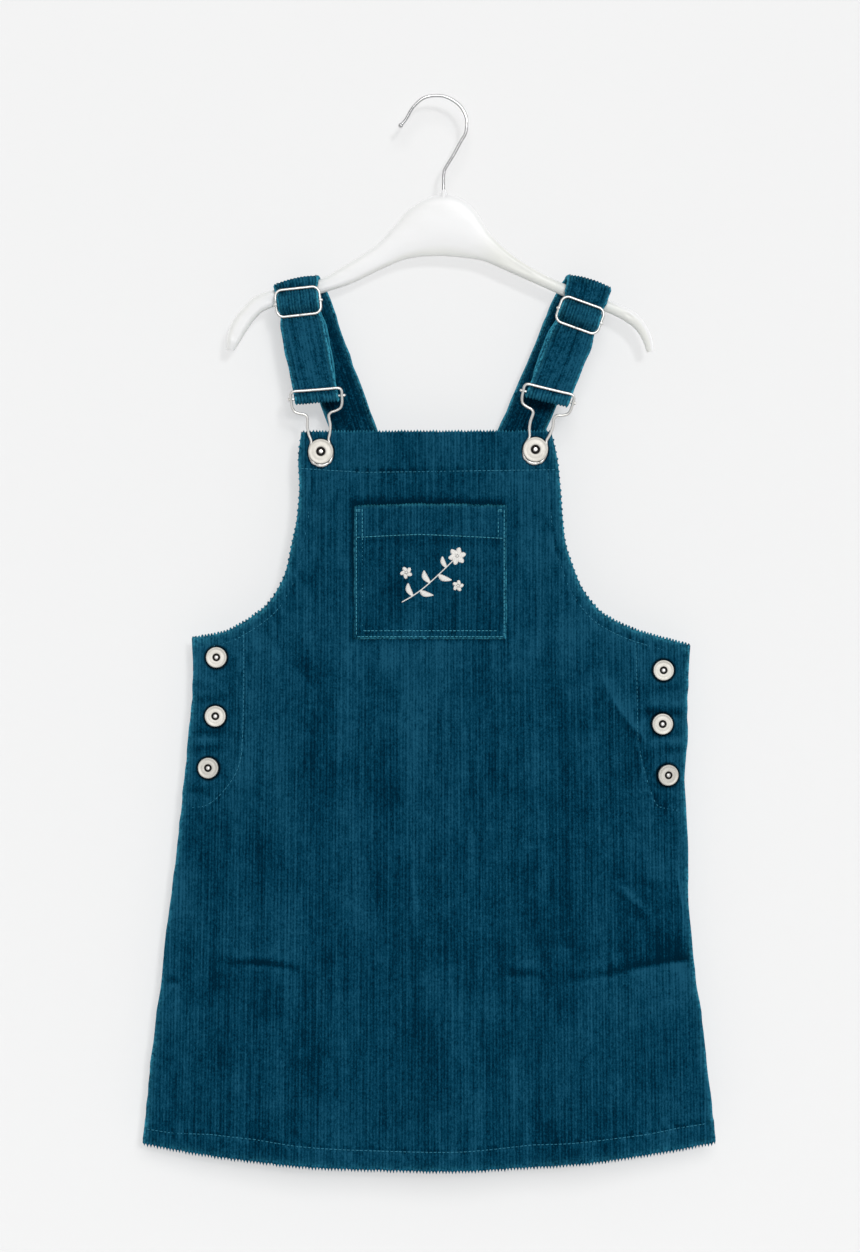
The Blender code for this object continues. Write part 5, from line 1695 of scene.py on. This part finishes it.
def make_stage():
    """A pale wall close behind that curves into a pale floor."""
    profile = [(WALL_Y, WALL_TOP)]
    for turn in np.radians(np.linspace(0.0, 90.0, COVE_STEPS + 1)):
        profile.append((WALL_Y - COVE_R * (1 - math.cos(turn)), FLOOR_Z + COVE_R * (1 - math.sin(turn))))
    profile.append((FLOOR_FRONT, FLOOR_Z))
    points = [(side, y, z) for y, z in profile for side in (-WALL_SIDE, WALL_SIDE)]
    faces = [(i, i + 2, i + 3, i + 1) for i in range(0, len(points) - 2, 2)]
    mesh = bpy.data.meshes.new("stage_wall")
    mesh.from_pydata(points, [], faces)
    mesh.materials.append(stage_paint("stage_paint"))
    mesh.shade_smooth()
    wall = bpy.data.objects.new("stage_wall", mesh)
    bpy.context.scene.collection.objects.link(wall)
    wall.visible_shadow = False
    return wall


def aim(ob, place, target):
    ob.location = place
    ob.rotation_euler = (Vector(target) - Vector(place)).to_track_quat("-Z", "Y").to_euler()


# Lights: where each shines from, strength, how wide it looks in degrees, colour
SUNS = {
    "key": ((0.1, -1.0, 0.42), 1.32, 30.0, (1.0, 0.993, 0.983)),
    "narrow": ((0.25, -1.0, 0.23), 0.75, 7.0, (0.985, 0.992, 1.0)),
    "wall_wash": ((0.0, -1.0, 0.3), 3.7, 10.0, (0.998, 0.998, 1.0)),
    "rear": ((-0.25, 1.0, 0.35), 1.35, 60.0, (1.0, 1.0, 1.0)),
    "rim_left": ((-1.0, 0.3, 0.3), 0.5, 25.0, (1.0, 1.0, 1.0)),
    "rim_right": ((1.0, 0.3, 0.3), 0.7, 25.0, (1.0, 1.0, 1.0)),
}
WORLD_COLOUR = (0.985, 0.99, 1.0, 1.0)
WORLD_LIGHT = 0.33
WORLD_SHOWN = 0.9

CAMERA_PLACE = (-0.006, -2.653, -0.402)
CAMERA_TARGET = (-0.006, 0.0, -0.402)
CAMERA_LENS = 100.0
CAMERA_SENSOR = 36.0


def make_light(wall):
    """Soft light from the front and right; the lights behind the wall serve the other sides."""
    scene = bpy.context.scene
    world = bpy.data.worlds.new("studio")
    world.use_nodes = True
    tree = world.node_tree
    back = tree.nodes["Background"]
    back.inputs["Color"].default_value = WORLD_COLOUR
    looked_at = tree.nodes.new("ShaderNodeLightPath").outputs["Is Camera Ray"]
    strength = tree.nodes.new("ShaderNodeMapRange")
    tree.links.new(looked_at, strength.inputs["Value"])
    strength.inputs["To Min"].default_value = WORLD_LIGHT
    strength.inputs["To Max"].default_value = WORLD_SHOWN
    tree.links.new(strength.outputs["Result"], back.inputs["Strength"])
    scene.world = world
    for name, (place, energy, width, colour) in SUNS.items():
        sun = bpy.data.lights.new(name, "SUN")
        sun.energy = energy
        sun.angle = math.radians(width)
        sun.color = colour
        ob = bpy.data.objects.new(name, sun)
        aim(ob, place, (0.0, 0.0, 0.0))
        scene.collection.objects.link(ob)
        if name == "wall_wash":
            only_wall = bpy.data.collections.new("only_wall")
            only_wall.objects.link(wall)
            ob.light_linking.receiver_collection = only_wall
            ob.light_linking.blocker_collection = only_wall


def pass_key_light(hanger):
    """White before a white wall, the hanger keeps only the narrow light off the wall."""
    blockers = bpy.data.collections.new("key_blockers")
    for ob in bpy.context.scene.objects:
        if ob.type == "MESH" and ob is not hanger:
            blockers.objects.link(ob)
    bpy.data.objects["key"].light_linking.blocker_collection = blockers


def make_camera():
    scene = bpy.context.scene
    data = bpy.data.cameras.new("camera")
    data.lens = CAMERA_LENS
    data.sensor_width = CAMERA_SENSOR
    camera = bpy.data.objects.new("camera", data)
    aim(camera, CAMERA_PLACE, CAMERA_TARGET)
    scene.collection.objects.link(camera)
    scene.camera = camera
    scene.view_settings.view_transform = "Standard"


# ---------------------------------------------------------------- build

make_camera()
make_light(make_stage())

front = make_panel("front_panel_cloth", "front_panel", FRONT, FRONT_CORDUROY)
back = make_panel("back_panel_cloth", "back_panel", BACK, CORDUROY, BACK_HEM_RISE)
front_seams = panel_seams("front_stitches", FRONT)
back_seams = panel_seams("back_stitches", BACK, [box_line(*box) for box in STRAP_BOXES])
pocket = make_pocket()
pocket_stitching = pocket_seams()
sprig = make_sprig()
make_buttons()
straps = [make_strap(side) for side in STRAP_FOLDS]
for side in STRAP_FOLDS:
    make_buckle(side)
    make_slider(side)
hanger = make_hanger()
make_hook()
pass_key_light(hanger)
